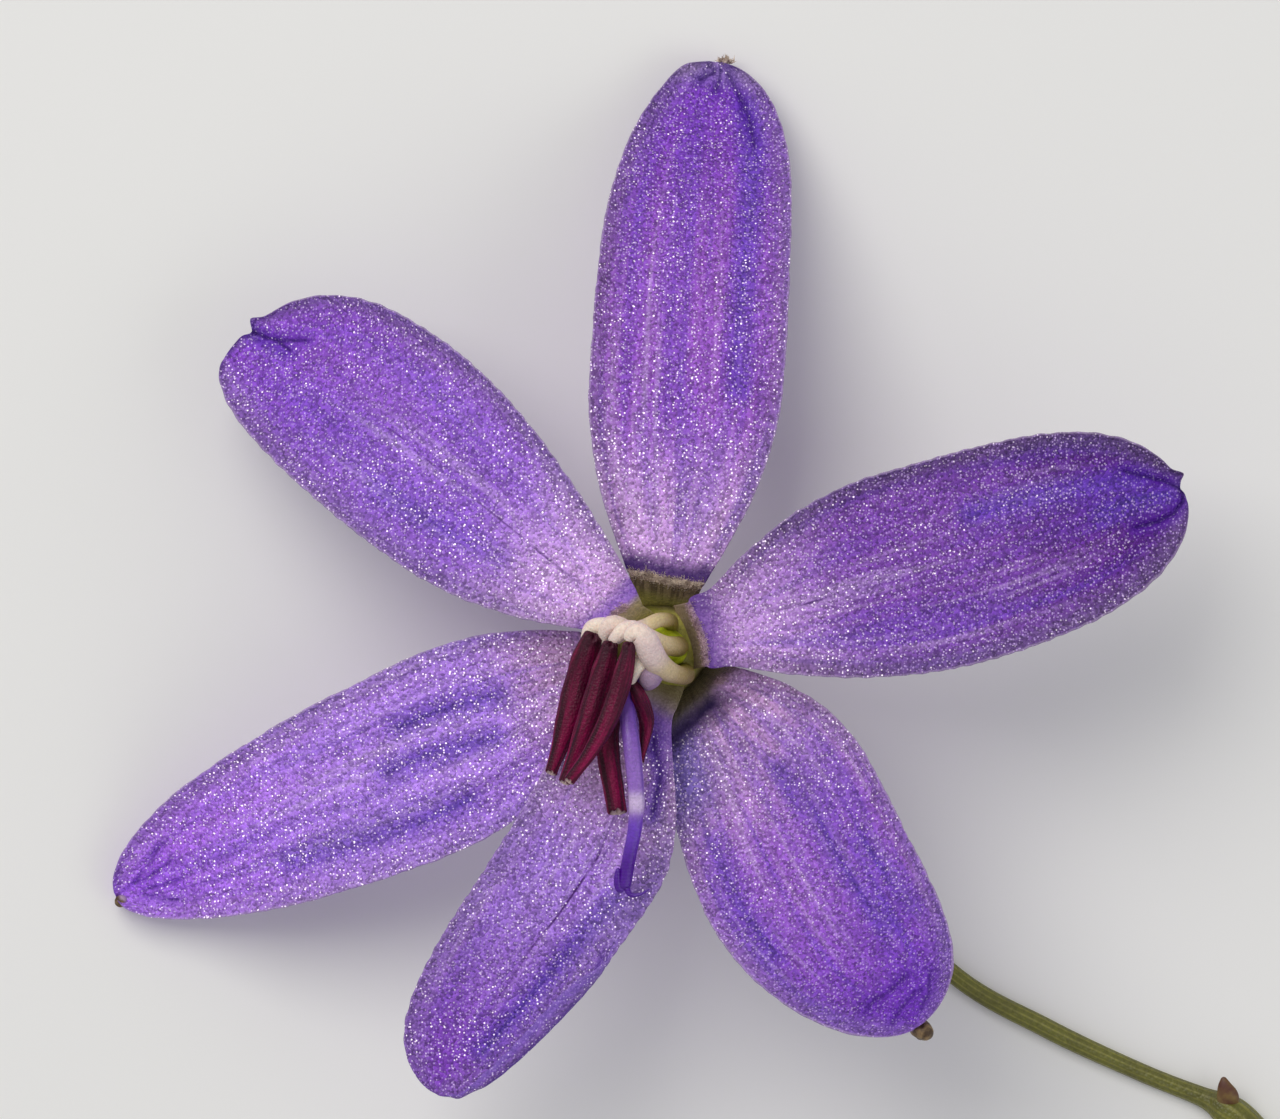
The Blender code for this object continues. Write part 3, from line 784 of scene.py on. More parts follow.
def tepal_finish(tepal):
    """Violet skin of tiny cells: paler to the root, partly as a painted sheen, streaked lengthwise, with
    painted white glints that glow, painted shade along the creases and the sides, on some a painted blue
    shadow by the root, darker bands and a dark tint beyond the ridge that are partly painted shade,
    one dark vein, and past the fuzzy ridge a striped green claw."""
    look = tepal.look
    # The emission strength makes the painted glints glow
    paint = Finish(tepal.name, look.base, sheen_weight=0.02, specular_ior_level=0.2, emission_strength=0.68)
    across = paint.u * 2 - 1
    along = paint.along
    beyond = paint.field("beyond_ridge")
    margin = paint.field("from_margin")
    # Paler towards the root; the pale base colour partly stands for a painted sheen
    paint.coat(look.middle, beyond.between(0.8, look.base_reach))
    paint.coat(look.end, along.between(0.5, 0.97))

    # Streaks, bands partly painted as shade in the folds, painted shadow and side shade, and slow changes
    own = 3.7 * len(tepal.name)
    broad = paint.noise(1.0, 2, paint.vector(across * 3.4, along * 1.5, own))
    fine = paint.noise(1.0, 3, paint.vector(across * 11, along * 1.9, own))
    depth = look.streaks * along.between(0.0, 0.16) * along.between(1.0, 0.8)
    paint.coat(BLUE_VIOLET, broad.between(0.5, 0.66) * depth * 0.9)
    paint.coat(RED_VIOLET, broad.between(0.48, 0.36) * depth * 0.4)
    paint.coat(PALE_LILAC, fine.between(0.48, 0.3) * depth * along.between(0.9, 0.6) * 0.8)
    paint.coat(BLUE_VIOLET, fine.between(0.52, 0.7) * depth * 0.8)
    # Darker bands along the folds: partly the tepal's own deeper violet, partly painted shade in their
    # valleys
    from_band = paint.field("from_band")
    paint.coat(BLUE_VIOLET, from_band.between(0.75, 0.05) * look.bands)
    paint.coat(BAND_VIOLET, from_band.between(0.2, 0.0) * fine.between(0.4, 0.6) * look.bands)
    # Painted blue shadow by the right margin's root
    if look.blue:
        paint.coat(SHADOW_BLUE, across.between(0.0, 0.7) * beyond.between(4.2, 2.0) * look.blue)
    paint.coat(MARGIN_GREY, margin.between(1.3, 0.1) * along.between(0.1, 0.3) * 0.4)
    if look.tip_pale:
        paint.coat(MARGIN_LILAC, along.between(0.94, 0.985) * look.tip_pale)
    # Painted shade: the left and right sides darker
    left, right = look.sides
    paint.shade(1 - (across.between(-0.5, -0.95) * left + across.between(0.5, 0.95) * right))

    # Clouds, mottles and cells
    cloudy = paint.noise(700, 3)
    paint.shade(0.8 + cloudy * 0.4)
    paint.shade(0.76 + paint.noise(3000, 2) * 0.48)
    grain, chance = paint.cells(12500)
    paint.shade(0.54 + chance * 0.86)
    rolls = tepal.left_roll[0] > np.pi / 2
    rim = margin.between(0.1, 0.0) * (0.3 if rolls else 1.0)
    paint.coat(MARGIN_LILAC, rim * along.between(0.05, 0.15) * 0.5)

    # The dark tint beyond the ridge, partly the tepal's own deep violet and partly painted shadow, hides the
    # painted glints, and is laid on last
    shade_tint, strength, reach = look.shade
    shade = (beyond + (cloudy - 0.5) * 1.2).between(*reach) * (0.6 + cloudy * 0.8) * strength
    if look.shade_side:
        shade = shade * (0.2 + across.between(*look.shade_side) * 0.8)

    # Pale flecks, near the root in the painted glints' lilac, and painted white glints: dots in the middles
    # of some cells, which also glow through the emission
    glint_patches = 0.5 + paint.noise(520, 2).between(0.35, 0.65) * 0.8
    gap, draw = paint.cells(10500)
    flecks = gap.between(0.48, 0.14) * draw.between(0.1, 1.0)
    fleck_tint = paint.mix(PAINTED_GLINT_LILAC, FLECK_LILAC, beyond.between(1.5, 6.0))
    paint.coat(fleck_tint, flecks * beyond.between(0.0, 0.4) * 0.8)
    gap, draw = paint.cells(9000)
    small = gap.between(0.33, 0.1) * draw.between(0.3, 1.0)
    gap, draw = paint.cells(6400)
    large = gap.between(0.24, 0.09) * draw.between(0.3, 0.95)
    near, far = look.painted_glints
    much = near + along.between(0.35, 0.8) * (far - near)
    painted_glints = glint_patches * beyond.between(0.1, 0.6) * (1 + along.between(0.5, 0.15) * 0.9) * much
    painted_glints = painted_glints * (0.75 + fine.between(0.6, 0.4) * 0.5) * (1 - shade)
    paint.coat(PAINTED_GLINT_LILAC, small * painted_glints * 0.9)
    paint.coat(PAINTED_GLINT, large * painted_glints)
    glint_glow = paint.mix(BLACK, PAINTED_GLINT, (small * 0.4 + large) * painted_glints)
    paint.feed(paint.shader.inputs, "Emission Color", glint_glow)

    # Vein, painted shade along the creases, and the rolled margin
    if look.vein:
        vein = paint.field("from_vein").between(0.06, 0.012)
        vein = vein * along.between(0.08, 0.24) * along.between(0.85, 0.5)
        paint.coat(VEIN_VIOLET, vein * (0.35 + paint.noise(1500, 1).between(0.3, 0.55) * 0.65) * look.vein)
    # Painted shade: soft round each crease and dark in its line
    from_crease = paint.field("from_crease")
    paint.coat(CREASE_SHADE, from_crease.between(0.5, 0.05) * look.creases * 0.5)
    paint.coat(CREASE_SHADOW, from_crease.between(0.1, 0.0) * look.creases * 0.8)
    if rolls:
        rolled = along.between(0.5, 0.62)
        paint.coat(ROLL_SHADE, across.peak(-0.84, 0.08) * rolled * 0.8)
        paint.coat(ROLL_LIGHT, across.between(-0.88, -0.96) * rolled * 0.5)
        paint.coat(PALE_LILAC, across.peak(-0.74, 0.05) * along.between(0.7, 0.84) * 0.45)
    # The dark tint beyond the ridge: own deep violet and painted shadow
    paint.coat(shade_tint, shade)

    # The claw, and the felt under the hairs
    dark, light, inner = look.claw
    stripes = paint.noise(1.0, 2, paint.vector(across * 9, beyond * 0.5, own)).between(0.42, 0.6)
    claw = paint.mix(light, dark, 0.5 + (stripes - 0.5) * look.stripes)
    claw = paint.mix(claw, inner, beyond.between(-0.3, -0.9))
    paint.coat(paint.shaded(claw, 0.8 + chance * 0.34), beyond.between(*look.edge))
    count, low, high = tepal.fuzz
    if count:
        light, dark, strength = look.fuzz
        felt = paint.mix(light, dark, paint.noise(9000, 2).between(0.4, 0.65))
        stretch = across.between(low - 0.12, low + 0.05) * across.between(high + 0.12, high - 0.05)
        paint.coat(felt, beyond.peak(0.0, 0.18).between(0.1, 0.5) * stretch * strength)
    return paint.finished(0.55 - small * 0.15, grain * -1.0 + cloudy * 1.5, 0.00003)


# Fuzzy ridges, with a darker and a lighter tint for their hairs, and tip points
FUZZ_HAIRS = ((158, 136, 122), (226, 208, 190))
MAUVE_HAIRS = ((150, 118, 134), (226, 198, 208))
POINT_WHITISH = (178, 152, 176)
POINT_BROWN = (72, 50, 28)
POINT_TAN = (140, 114, 78)


def ridge_fuzz(tepal, length=0.17):
    """Short blunt hairs stood on a tepal's ridge, in a band along it, each leaning its own way."""
    count, low, high = tepal.fuzz
    random = np.random.default_rng(SEED + count)
    across = random.uniform(low, high, count)
    along = tepal.ridge_line(across) + random.normal(0, 0.09, count) / tepal.length
    roots = tepal.surface(along, across)
    lean = random.normal(0, 0.45, (count, 3))
    lean[:, :2] += 0.3 * tepal.ahead
    lean[:, 2] = 1.0
    tips = roots + unit(lean) * (length * random.uniform(0.6, 1.2, count))[:, None]
    thickness = random.uniform(0.01, 0.018, count)
    roots[:, 2] -= 0.03
    return cone_surface(roots, tips, thickness)


def hair_finish(name, dark, light):
    """Hairs between a darker and a lighter tint, in clouds."""
    paint = Finish(name, dark)
    paint.coat(light, paint.noise(5000, 2).between(0.35, 0.65))
    return paint.finished(0.6)


def tip_point(places, radii):
    """A tepal's small hard point: a rough drop along a short path."""
    return tube(
        places, radii, rings=26, sides=20, rounding=(0.12, 0.12),
        swell=lambda angle, ring: 1 + 0.1 * np.sin(3 * angle + ring * 0.4) * np.cos(5 * angle),
    )


def point_finish():
    """Whitish where it leaves the tepal, then brown, darker at its end."""
    paint = Finish("tip_point", POINT_WHITISH)
    tone = paint.noise(4200, 3)
    brown = paint.mix(POINT_BROWN, POINT_TAN, tone.between(0.38, 0.66))
    paint.coat(brown, (paint.along + (tone - 0.5) * 0.5).between(0.25, 0.45))
    return paint.finished(0.55, tone, 0.00004)


def tuft_surface(place, count):
    """A tuft of short whitish papillae fanned out from a point at the tepal's tip."""
    random = np.random.default_rng(SEED)
    angle = random.uniform(-1.4, 1.4, count)
    roots = np.array(place) + random.normal(0, 0.07, (count, 3)) * [1.5, 0.4, 0.6]
    way = np.stack([np.sin(angle), 0.9 * np.cos(angle), random.uniform(0, 0.5, count)], axis=-1)
    tips = roots + unit(way) * random.uniform(0.14, 0.3, count)[:, None]
    return cone_surface(roots, tips, random.uniform(0.03, 0.06, count), 6)


# Filaments. Each has the points of its middle line and its radius at each of them, how far from the
# root its green reaches, as a share of its length, which deepens into painted shade, and how much
# painted lilac shade its flesh takes.
FILAMENT_RINGS = 80
FILAMENTS = {
    "left_end": (
        [(-0.5, 0.4, 6.4), (-0.7, 0.5, 7.7), (-1.2, 0.6, 8.3), (-1.8, 0.75, 8.5), (-2.22, 0.7, 8.45),
         (-2.4, 0.45, 8.35), (-2.46, 0.28, 8.25)],
        [0.24, 0.26, 0.27, 0.3, 0.29, 0.22, 0.15], 0.35, 0.0,
    ),
    "second": (
        [(0.26, 0.6, 6.4), (0.28, 0.9, 7.5), (0.12, 0.97, 8.2), (-0.16, 0.95, 8.6), (-0.6, 0.74, 8.8),
         (-1.0, 0.66, 8.95), (-1.35, 0.78, 9.05), (-1.62, 0.82, 9.0), (-1.8, 0.6, 8.9), (-1.88, 0.3, 8.75),
         (-1.7, -0.1, 8.65), (-1.5, -0.4, 8.6), (-1.58, -0.95, 8.55)],
        [0.24, 0.25, 0.24, 0.24, 0.25, 0.26, 0.29, 0.31, 0.27, 0.19, 0.13, 0.1, 0.09], 0.57, 0.0,
    ),
    "third": (
        [(0.5, 0.1, 6.4), (0.52, 0.12, 7.6), (0.35, 0.13, 8.3), (0.0, 0.19, 8.8), (-0.5, 0.43, 9.15),
         (-0.92, 0.66, 9.4), (-1.22, 0.62, 9.5), (-1.46, 0.42, 9.45), (-1.66, 0.24, 9.3)],
        [0.3, 0.33, 0.32, 0.31, 0.31, 0.31, 0.29, 0.23, 0.15], 0.75, 0.0,
    ),
    "front": (
        [(0.7, -0.66, 6.4), (0.76, -0.78, 7.6), (0.68, -0.82, 8.3), (0.42, -0.76, 8.85),
         (0.12, -0.62, 9.25), (-0.18, -0.36, 9.6), (-0.38, -0.02, 9.85), (-0.53, 0.32, 10.0),
         (-0.76, 0.58, 10.05), (-0.98, 0.5, 10.0), (-1.08, 0.27, 9.9)],
        [0.28, 0.3, 0.3, 0.31, 0.36, 0.41, 0.43, 0.41, 0.33, 0.25, 0.16], 0.8, 0.3,
    ),
    "bottom_left": (
        [(-0.5, -0.2, 6.4), (-0.45, -0.2, 8.3), (-0.38, -0.22, 9.0), (-0.62, -0.36, 9.35),
         (-0.82, -0.54, 9.4), (-0.95, -0.84, 9.3), (-1.01, -1.1, 9.2)],
        [0.22, 0.26, 0.3, 0.3, 0.27, 0.2, 0.12], 0.3, 0.0,
    ),
    "bottom": (
        [(-0.05, -0.55, 6.4), (-0.05, -0.5, 8.0), (-0.15, -0.48, 9.0), (-0.32, -0.78, 9.38),
         (-0.4, -0.95, 9.15), (-0.55, -1.05, 8.5), (-0.9, -1.15, 8.0), (-1.35, -1.2, 7.9)],
        [0.25, 0.3, 0.35, 0.36, 0.33, 0.24, 0.16, 0.12], 0.2, 1.0,
    ),
}
CREAM = (228, 204, 190)
PALE_CREAM = (255, 234, 216)
ROSE = (224, 192, 206)
SHADE_LILAC = (141, 110, 156)
GREEN_CREAM = (216, 196, 150)
OLIVE = (172, 152, 84)
SHADED_OLIVE = (134, 118, 50)


def filament_surface(points, radii, green_reach, lilac):
    """A round fleshy tube with shallow lengthwise furrows: the radius ripples with the angle."""
    made = tube(
        points, radii, FILAMENT_RINGS, TUBE_SIDES, rounding=(0.0, 0.12),
        swell=lambda angle, ring: 1 + 0.018 * np.cos(5 * angle + 0.05 * ring),
    )
    run = np.append(np.repeat(eased(FILAMENT_RINGS), TUBE_SIDES), [0.0, 1.0])
    made.fields["green"] = smoothstep(run, green_reach, 0.4 * green_reach)
    made.fields["lilac"] = lilac * smoothstep(run, 1.0, 0.8)
    return made


def filament_finish():
    """Cream, paler at its far end, green towards the root and deepened to olive there by painted shade,
    with painted lilac shade where it lies in shadow, finely pitted.
    """
    paint = Finish("filament", CREAM, **flesh(0.3, (0.6, 0.4, 0.35), 0.0004))
    paint.coat(PALE_CREAM, paint.along.between(0.5, 0.8))
    paint.coat(ROSE, paint.noise(1100, 2).between(0.4, 0.7) * 0.3)
    # Painted lilac shade where the filament lies in shadow
    paint.coat(SHADE_LILAC, paint.field("lilac") * 0.8)
    green = paint.field("green")
    # Green towards the root, deepened to olive by painted shade deep in the flower
    paint.coat(GREEN_CREAM, green.between(0.0, 0.35))
    paint.coat(OLIVE, green.between(0.35, 0.85) * 0.9)
    paint.coat(SHADED_OLIVE, green.between(0.75, 1.0))
    cross_lines = (paint.along * 260 + paint.noise(1500, 1) * 5).sine()
    paint.shade(0.985 + cross_lines * 0.02)
    return paint.finished(0.4, paint.grain(15000, 0.9, 0.16), 0.00002)


# Anthers. Each has the points of its middle line, its greatest half width, its twist in radians, and
# the share of its width that it keeps at its far end.
ANTHER_RINGS = 120
ANTHER_SIDES = 64
ANTHERS = {
    "left_end": (
        [(-2.2, 0.5, 8.95), (-2.34, 0.1, 8.75), (-2.58, -0.8, 8.5), (-2.85, -1.8, 8.4), (-3.2, -2.85, 8.35),
         (-3.58, -3.95, 8.3)],
        0.5, 0.3, 0.4,
    ),
    "third": (
        [(-1.66, 0.24, 9.55), (-1.76, -0.2, 9.4), (-1.95, -0.9, 9.3), (-2.35, -2.2, 9.2),
         (-3.15, -4.25, 8.9)],
        0.4, -0.4, 0.5,
    ),
    "front": (
        [(-1.06, 0.24, 10.1), (-1.12, -0.2, 10.0), (-1.36, -1.2, 9.9), (-1.72, -2.2, 9.85),
         (-2.3, -3.25, 9.75), (-3.0, -4.2, 9.6)],
        0.33, 1.0, 0.6,
    ),
    "second": (
        [(-1.6, -0.9, 8.6), (-1.62, -1.4, 8.55), (-1.75, -3.0, 8.7), (-1.45, -5.2, 8.6)], 0.38, 0.2, 0.85,
    ),
    "bottom_left": (
        [(-0.97, -1.05, 9.2), (-0.77, -1.42, 9.1), (-0.5, -2.3, 8.5), (-0.68, -3.6, 8.45)], 0.27, 0.5, 0.4,
    ),
    "bottom": ([(-1.65, -1.4, 7.9), (-2.2, -2.2, 8.2), (-2.5, -3.4, 8.25)], 0.25, 0.0, 0.4),
}
MAROON = (66, 1, 33)
CRIMSON_AND_SHEEN = (128, 6, 64)
GROOVE_SHADE = (36, 4, 20)
BLUNT_TOP = (54, 20, 34)
DUST = (240, 224, 226)
FAR_END = (214, 190, 184)


def anther_surface(points, half_width, twist, far_share):
    """Four lobes with sharp grooves between them, narrowing to both ends and turning slowly round.

    A lobe's round is the square root of a cosine. Both ends are blunt, rounded over by a quarter
    circle, and forked: their two sides run on past the middle."""
    path, _ = route(points, np.ones(len(points)), ANTHER_RINGS)
    t = eased(ANTHER_RINGS)
    widen = 0.58 + 0.42 * smoothstep(t, -0.06, 0.24)
    narrow = 1 - (1 - far_share) * smoothstep(t, 0.45, 1.02)
    for way, share in ((t, 0.02), (1 - t, 0.015)):
        narrow = narrow * np.sqrt(1 - np.clip(1 - way / share, 0, 1) ** 2)
    profile, angle = section(ANTHER_SIDES)
    lobes = 0.84 + 0.16 * np.sqrt(np.abs(np.cos(2 * (angle + twist * t[:, None]))))
    uneven = 1 + 0.03 * np.sin(17 * t)[:, None] * np.sin(3 * angle + 9 * t[:, None])
    profile = profile * (lobes * uneven)[..., None] * [0.8, 1.0]
    forked = smoothstep(t, 0.93, 1.0) * far_share - 0.5 * smoothstep(t, 0.05, 0.0)
    fork = 0.5 * half_width * forked[:, None] * (np.abs(np.sin(angle)) - 0.6 + 0.25 * np.sin(7 * angle))
    return tube_surface(path, half_width * widen * narrow, profile, UP, fork)


def anther_finish():
    """Maroon with crimson streaks, partly its own colour and partly painted satin highlights, painted
    shade along the grooves, dark at the blunt top, finely grained, with pale far ends.
    """
    paint = Finish("anther", MAROON, specular_ior_level=0.22)
    u = paint.u
    along = paint.along
    # Crimson streaks, partly own colour and partly painted satin highlights, and painted shade along the
    # grooves
    paint.coat(CRIMSON_AND_SHEEN, paint.noise(1.2, 2, paint.vector(u * 8, along * 1.6)).between(0.36, 0.7))
    paint.coat(GROOVE_SHADE, (u * (8 * np.pi) + np.pi / 2).sine().between(-0.3, -0.95) * 0.6)
    paint.coat(BLUNT_TOP, along.between(0.16, 0.02) * 0.75)
    grain = paint.grain(14000, 0.82, 0.36)
    gap, draw = paint.cells(2300)
    paint.coat(DUST, gap.between(0.09, 0.05) * draw.between(0.9, 0.93))
    paint.coat(FAR_END, along.between(0.99, 1.0) * 0.8)
    return paint.finished(0.42, grain, 0.00002)


# The pistil: the middle line of its ovary and style, then its stigma's thin hook and short lobe
PISTIL_POINTS = [
    (0.1, 0.05, 6.5), (0.12, 0.05, 7.2), (0.08, 0.03, 7.7), (-0.25, -0.3, 8.1), (-0.75, -0.85, 8.55),
    (-1.12, -1.4, 8.75), (-1.12, -2.1, 9.1), (-0.97, -3.2, 9.35), (-0.83, -4.7, 9.3), (-0.88, -5.7, 9.2),
    (-1.05, -6.6, 9.0), (-1.2, -7.4, 8.8), (-1.22, -7.7, 8.8),
]
PISTIL_RADII = [0.66, 0.68, 0.5, 0.26, 0.23, 0.23, 0.26, 0.28, 0.26, 0.23, 0.22, 0.23, 0.2]
STIGMA = [
    ([(-1.15, -7.62, 8.8), (-1.02, -7.86, 8.84), (-0.72, -7.86, 8.9), (-0.4, -7.68, 8.95)],
     [0.12, 0.08, 0.05, 0.03]),
    ([(-1.25, -7.72, 8.75), (-1.4, -7.62, 8.85), (-1.44, -7.3, 8.95), (-1.4, -7.0, 9.0)],
     [0.13, 0.13, 0.11, 0.07]),
]
STYLE_SHADED_VIOLET = (114, 66, 170)
STYLE_LILAC = (150, 106, 196)
STYLE_BLUE = (110, 60, 190)
STYLE_END = (78, 6, 146)
STYLE_BAND = (222, 200, 232)
STYLE_LINE = (76, 40, 150)
STYLE_RING = (116, 88, 180)
OVARY_YELLOW = (214, 226, 48)
OVARY_GREEN = (166, 184, 20)


def pistil_surface():
    """A tube whose round is slightly three-sided, with the stigma's two small tubes."""
    body = tube(
        PISTIL_POINTS, PISTIL_RADII, rings=150, sides=TUBE_SIDES, rounding=(0.1, 0.1), first_side=EAST,
        swell=lambda angle, ring: 1 + 0.04 * np.cos(3 * angle + 0.6),
    )
    for points, radii in STIGMA:
        body = body.joined(tube(points, radii, rings=30, sides=16, rounding=(0.05, 0.08)))
    return body


def pistil_finish():
    """A yellow-green ovary, then a violet style with painted shade at its top, a darker line, a white
    band and a deep violet end.
    """
    paint = Finish("pistil", STYLE_SHADED_VIOLET, **flesh(0.2, (0.5, 0.4, 0.6), 0.0003))
    south = Value(paint, paint.node("ShaderNodeSeparateXYZ", None, {0: paint.room})["Y"])
    down = (south - FLOWER_CENTRE[1] * MM) * (-1 / MM)
    # The darker violet at the style's top is painted shade; paler lilac below it
    paint.coat(STYLE_LILAC, down.between(1.6, 4.4))
    paint.coat(STYLE_BLUE, down.between(5.1, 5.7))
    paint.coat(STYLE_END, down.between(5.7, 7.0))
    paint.coat(STYLE_BAND, down.peak(4.9, 0.6).between(0.0, 1.0) * 0.8)
    paint.coat(STYLE_LINE, paint.u.peak(0.02, 0.06) * down.between(5.2, 4.2) * 0.6)
    rings = (down * 62 + paint.noise(900, 1) * 9).sine()
    paint.coat(STYLE_RING, rings.between(0.0, 1.0) * paint.noise(800, 1) * 0.2)
    grain = paint.grain(15000, 0.86, 0.24)
    ovary = paint.mix(OVARY_YELLOW, OVARY_GREEN, paint.noise(1800, 2).between(0.35, 0.65))
    paint.tint = paint.mix(ovary, paint.tint, down.between(0.45, 1.0))
    return paint.finished(0.32, grain, 0.00001)


# The stalk, from its swollen top to its cut end, with its bract and the throat among the claws
STALK_POINTS = [
    (0.0, 0.0, 6.5), (0.0, 0.0, 5.9), (0.0, 0.0, 5.2), (0.05, -0.05, 4.6), (0.15, -0.2, 3.8),
    (0.5, -0.65, 2.4), (1.3, -1.6, 1.1), (2.9, -3.4, 0.35), (5.7, -6.6, 0.25), (9.35, -10.45, 0.25),
    (12.5, -12.3, 0.25), (15.5, -13.7, 0.25), (17.5, -14.5, 0.27), (18.2, -14.85, 0.4),
    (18.85, -15.3, 0.45), (19.8, -16.4, 0.45), (20.8, -17.8, 0.45),
]
STALK_RADII = [
    0.9, 0.98, 1.0, 0.7, 0.42, 0.33, 0.3, 0.3, 0.3, 0.29, 0.31, 0.29, 0.32, 0.5, 0.54, 0.52, 0.52,
]
BRACT_POINTS = [(18.4, -14.95, 0.5), (18.35, -14.5, 0.85), (18.25, -14.15, 1.0), (18.2, -13.85, 1.05)]
BRACT_RADII = [0.3, 0.36, 0.24, 0.06]
THROAT_RADIUS = 1.5
THROAT_FOOT = 4.9
THROAT_TOP = 6.95
STALK_GREEN = (104, 104, 34)
STALK_LINE = (140, 136, 60)
STALK_CLOUD = (78, 74, 30)
BRACT_BROWN = (86, 46, 30)
BRACT_OLIVE = (128, 104, 50)
THROAT_OLIVE = (136, 124, 82)
THROAT_YELLOW = (184, 178, 92)
THROAT_GREEN = (160, 162, 48)


def stalk_surface():
    """A tube with fine lengthwise ridges, flattened where it lies on the surface."""
    made = tube(
        STALK_POINTS, STALK_RADII, rings=320, sides=40, rounding=(0.15, 0.06), first_side=EAST,
        swell=lambda angle, ring: 1 + 0.025 * np.cos(10 * angle) + 0.012 * np.sin(3 * angle + ring * 0.05),
    )
    made.points[:, 2] = np.maximum(made.points[:, 2], 0.0)
    return made


def stalk_finish():
    """Olive green with paler lengthwise lines and darker clouds."""
    paint = Finish("stalk", STALK_GREEN)
    lines = (paint.u * (20 * np.pi) + paint.noise(600, 1) * 2).sine()
    paint.coat(STALK_LINE, lines.between(0.2, 1.0) * 0.7)
    paint.coat(STALK_CLOUD, paint.noise(450, 3).between(0.45, 0.75) * 0.6)
    return paint.finished(0.45, paint.grain(9000, 0.85, 0.3), 0.00003)


def bract_surface():
    """A flattened pointed scale: the tube's section is pressed to just over half its depth."""
    path, radius = route(BRACT_POINTS, BRACT_RADII, rings=40, rounding=(0.1, 0.05))
    profile, _ = section(sides=28)
    return tube_surface(path, radius, profile * [1.0, 0.55], EAST)


def bract_finish():
    """Brown with olive clouds."""
    paint = Finish("bract", BRACT_BROWN)
    tone = paint.noise(1400, 3)
    paint.coat(BRACT_OLIVE, tone.between(0.4, 0.7))
    return paint.finished(0.5, tone, 0.00004)


def throat_surface():
    """The swollen stalk top among the claws: a lobed dome, steep at its foot and flat on top."""
    rings, sides = 48, 96
    t = np.linspace(0, 1, rings)
    height = THROAT_FOOT + (THROAT_TOP - THROAT_FOOT) * np.sin(np.pi / 2 * t)
    path = np.column_stack([0 * t, 0 * t, height])
    profile, angle = section(sides)
    lobes = 1 + 0.03 * np.cos(6 * angle + 0.5) + 0.01 * np.cos(17 * angle)
    radius = np.maximum(THROAT_RADIUS * np.cos(np.pi / 2 * t) ** 0.6, 0.01)
    return tube_surface(path, radius, profile * lobes[:, None], EAST)


def throat_finish():
    """Yellow-green on top, olive towards its foot, with soft clouds and a waxy shine."""
    paint = Finish("throat", THROAT_OLIVE, **flesh(0.2, (0.5, 0.5, 0.2), 0.0004))
    paint.coat(THROAT_YELLOW, paint.along.between(0.3, 0.8))
    paint.coat(THROAT_GREEN, paint.noise(1300, 2).between(0.4, 0.65) * 0.5)
    return paint.finished(0.4, paint.grain(12000, 0.88, 0.2), 0.00002)


# Camera, light and floor
WORLD_TINT = (0.95, 0.97, 1.0, 1.0)
WORLD_STRENGTH = 0.45
FLOOR_GREY = (238, 237, 234)


def add_camera():
    """Looks straight down at the photograph's middle, from far off, with the photograph's width in view."""
    middle = np.array([
        (PHOTO_WIDTH / 2 - CENTRE_PIXEL[0]) / PIXELS_A_MILLIMETRE,
        (CENTRE_PIXEL[1] - PHOTO_HEIGHT / 2) / PIXELS_A_MILLIMETRE,
        CAMERA_DISTANCE + SHARP_HEIGHT,
    ])
    data = bpy.data.cameras.new("camera")
    data.sensor_width = SENSOR_WIDTH
    data.lens = SENSOR_WIDTH * CAMERA_DISTANCE * PIXELS_A_MILLIMETRE / PHOTO_WIDTH
    data.clip_start = 0.01
    data.clip_end = 10.0
    bpy.context.scene.camera = placed("camera", data, (middle + FLOWER_CENTRE) * MM)


def add_lamp(name, place, size, power, tint):
    """A square soft lamp that faces the flower."""
    data = bpy.data.lights.new(name, "AREA")
    data.size = size
    data.energy = power
    data.color = tint
    back = unit(np.array(place, float))
    side = unit(np.cross([0.0, 1.0, 0.2], back))
    turn = np.column_stack([side, np.cross(back, side), back])
    placed(name, data, place).rotation_euler = Matrix(turn.tolist()).to_euler()


def add_world():
    world = bpy.data.worlds.new("studio")
    world.use_nodes = True
    sky = world.node_tree.nodes["Background"]
    sky.inputs["Color"].default_value = WORLD_TINT
    sky.inputs["Strength"].default_value = WORLD_STRENGTH
    bpy.context.scene.world = world


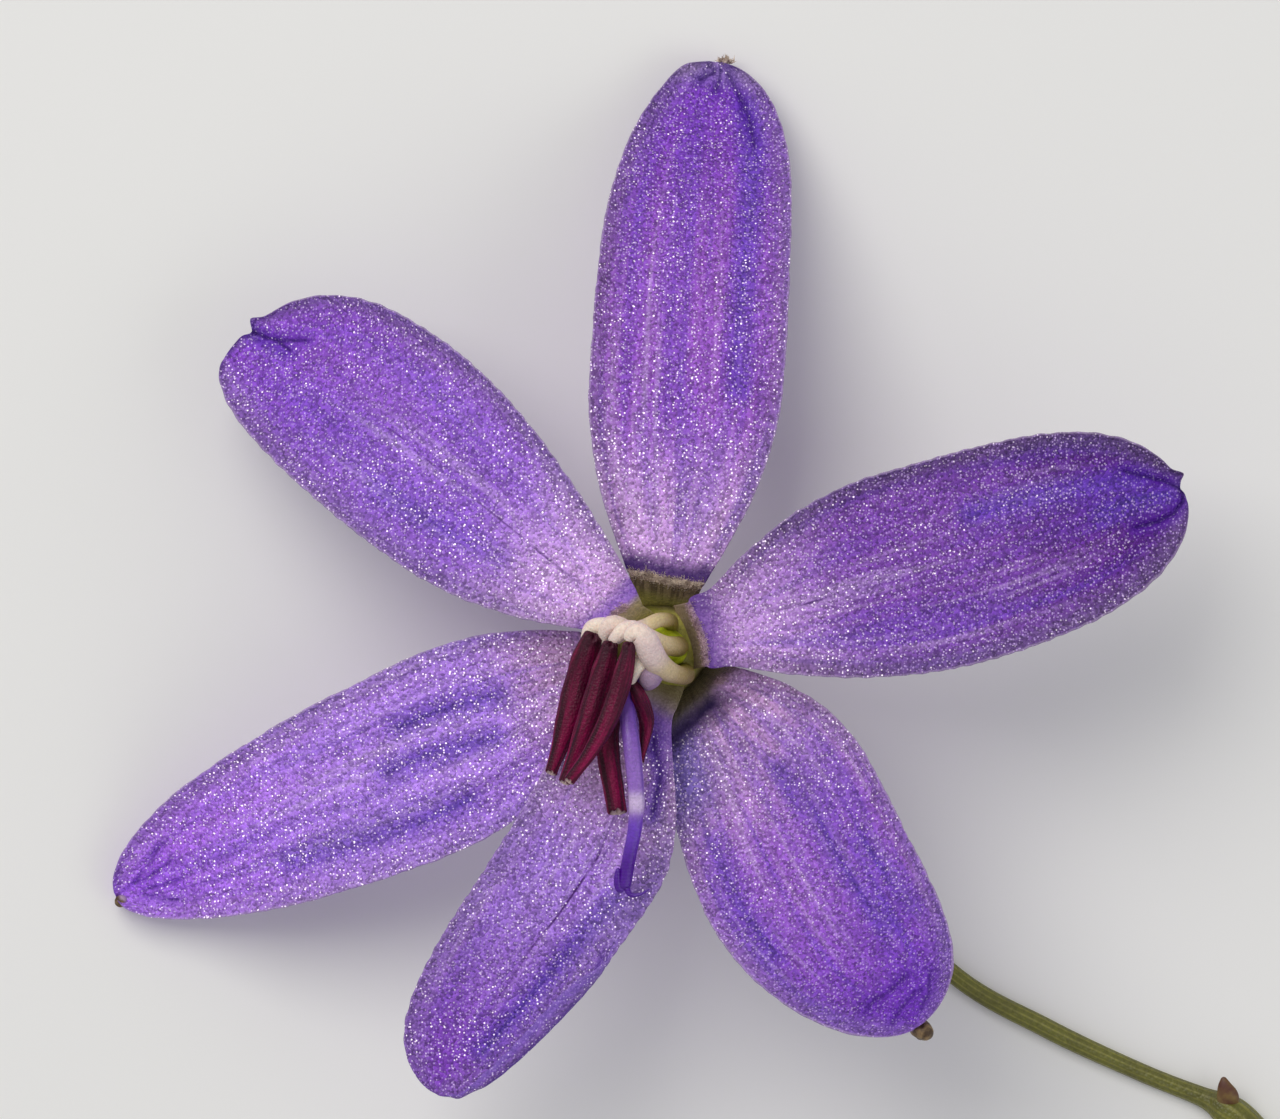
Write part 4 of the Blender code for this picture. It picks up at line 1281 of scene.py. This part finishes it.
def add_floor():
    """A wide plain pale sheet at the surface that the flower lies on."""
    half = FLOOR_HALF_WIDTH
    corners = [(-half, -half, 0), (half, -half, 0), (half, half, 0), (-half, half, 0)]
    mesh = bpy.data.meshes.new("floor")
    mesh.from_pydata(corners, [], [(0, 1, 2, 3)])
    mesh.materials.append(Finish("floor", FLOOR_GREY).finished(0.9))
    placed("floor", mesh)


add_camera()
add_lamp("key", (-0.14, 0.18, 0.32), 0.28, 0.8, (1.0, 0.98, 0.95))
add_lamp("fill", (0.3, -0.12, 0.28), 0.3, 0.25, (0.96, 0.97, 1.0))
add_world()
add_floor()
bpy.context.scene.view_settings.view_transform = "Standard"

fuzz = hair_finish("fuzz", *FUZZ_HAIRS)
mauve_fuzz = hair_finish("mauve_fuzz", *MAUVE_HAIRS)
for tepal in TEPALS:
    slot = "outer_tepal" if tepal.name.startswith("outer") else "inner_tepal"
    tepal.add_blade(slot)
    if tepal.fuzz[0]:
        hairs = fuzz if tepal.name == "outer_tepal_top" else mauve_fuzz
        ridge_fuzz(tepal).add(tepal.name + "_fuzz", hairs, slot)

brown = point_finish()
for side, places, radii in (
    ("left", [(-17.4, -8.0, 0.6), (-17.55, -8.16, 0.62), (-17.66, -8.32, 0.55)], [0.12, 0.19, 0.14]),
    ("right", [(8.05, -11.97, 11.3), (8.38, -12.2, 11.62), (8.65, -12.41, 11.7)], [0.26, 0.31, 0.17]),
):
    tip_point(places, radii).add(f"outer_tepal_lower_{side}_point", brown, "outer_tepal")
tuft_surface((2.05, 19.06, 0.7), 60).add("outer_tepal_top_tuft", fuzz, "outer_tepal")

filament = filament_finish()
for name, shape in FILAMENTS.items():
    filament_surface(*shape).add(f"filament_{name}_flesh", filament, "filament", f"filament_{name}")

anther = anther_finish()
for name, shape in ANTHERS.items():
    anther_surface(*shape).add(f"anther_{name}_lobes", anther, "anther", f"anther_{name}")

pistil_surface().add("pistil_body", pistil_finish(), "pistil", "pistil")
throat_surface().add("stalk_throat", throat_finish(), "stalk")
stalk_surface().add("stalk_body", stalk_finish(), "stalk", "stalk")
bract_surface().add("stalk_bract", bract_finish(), "stalk")
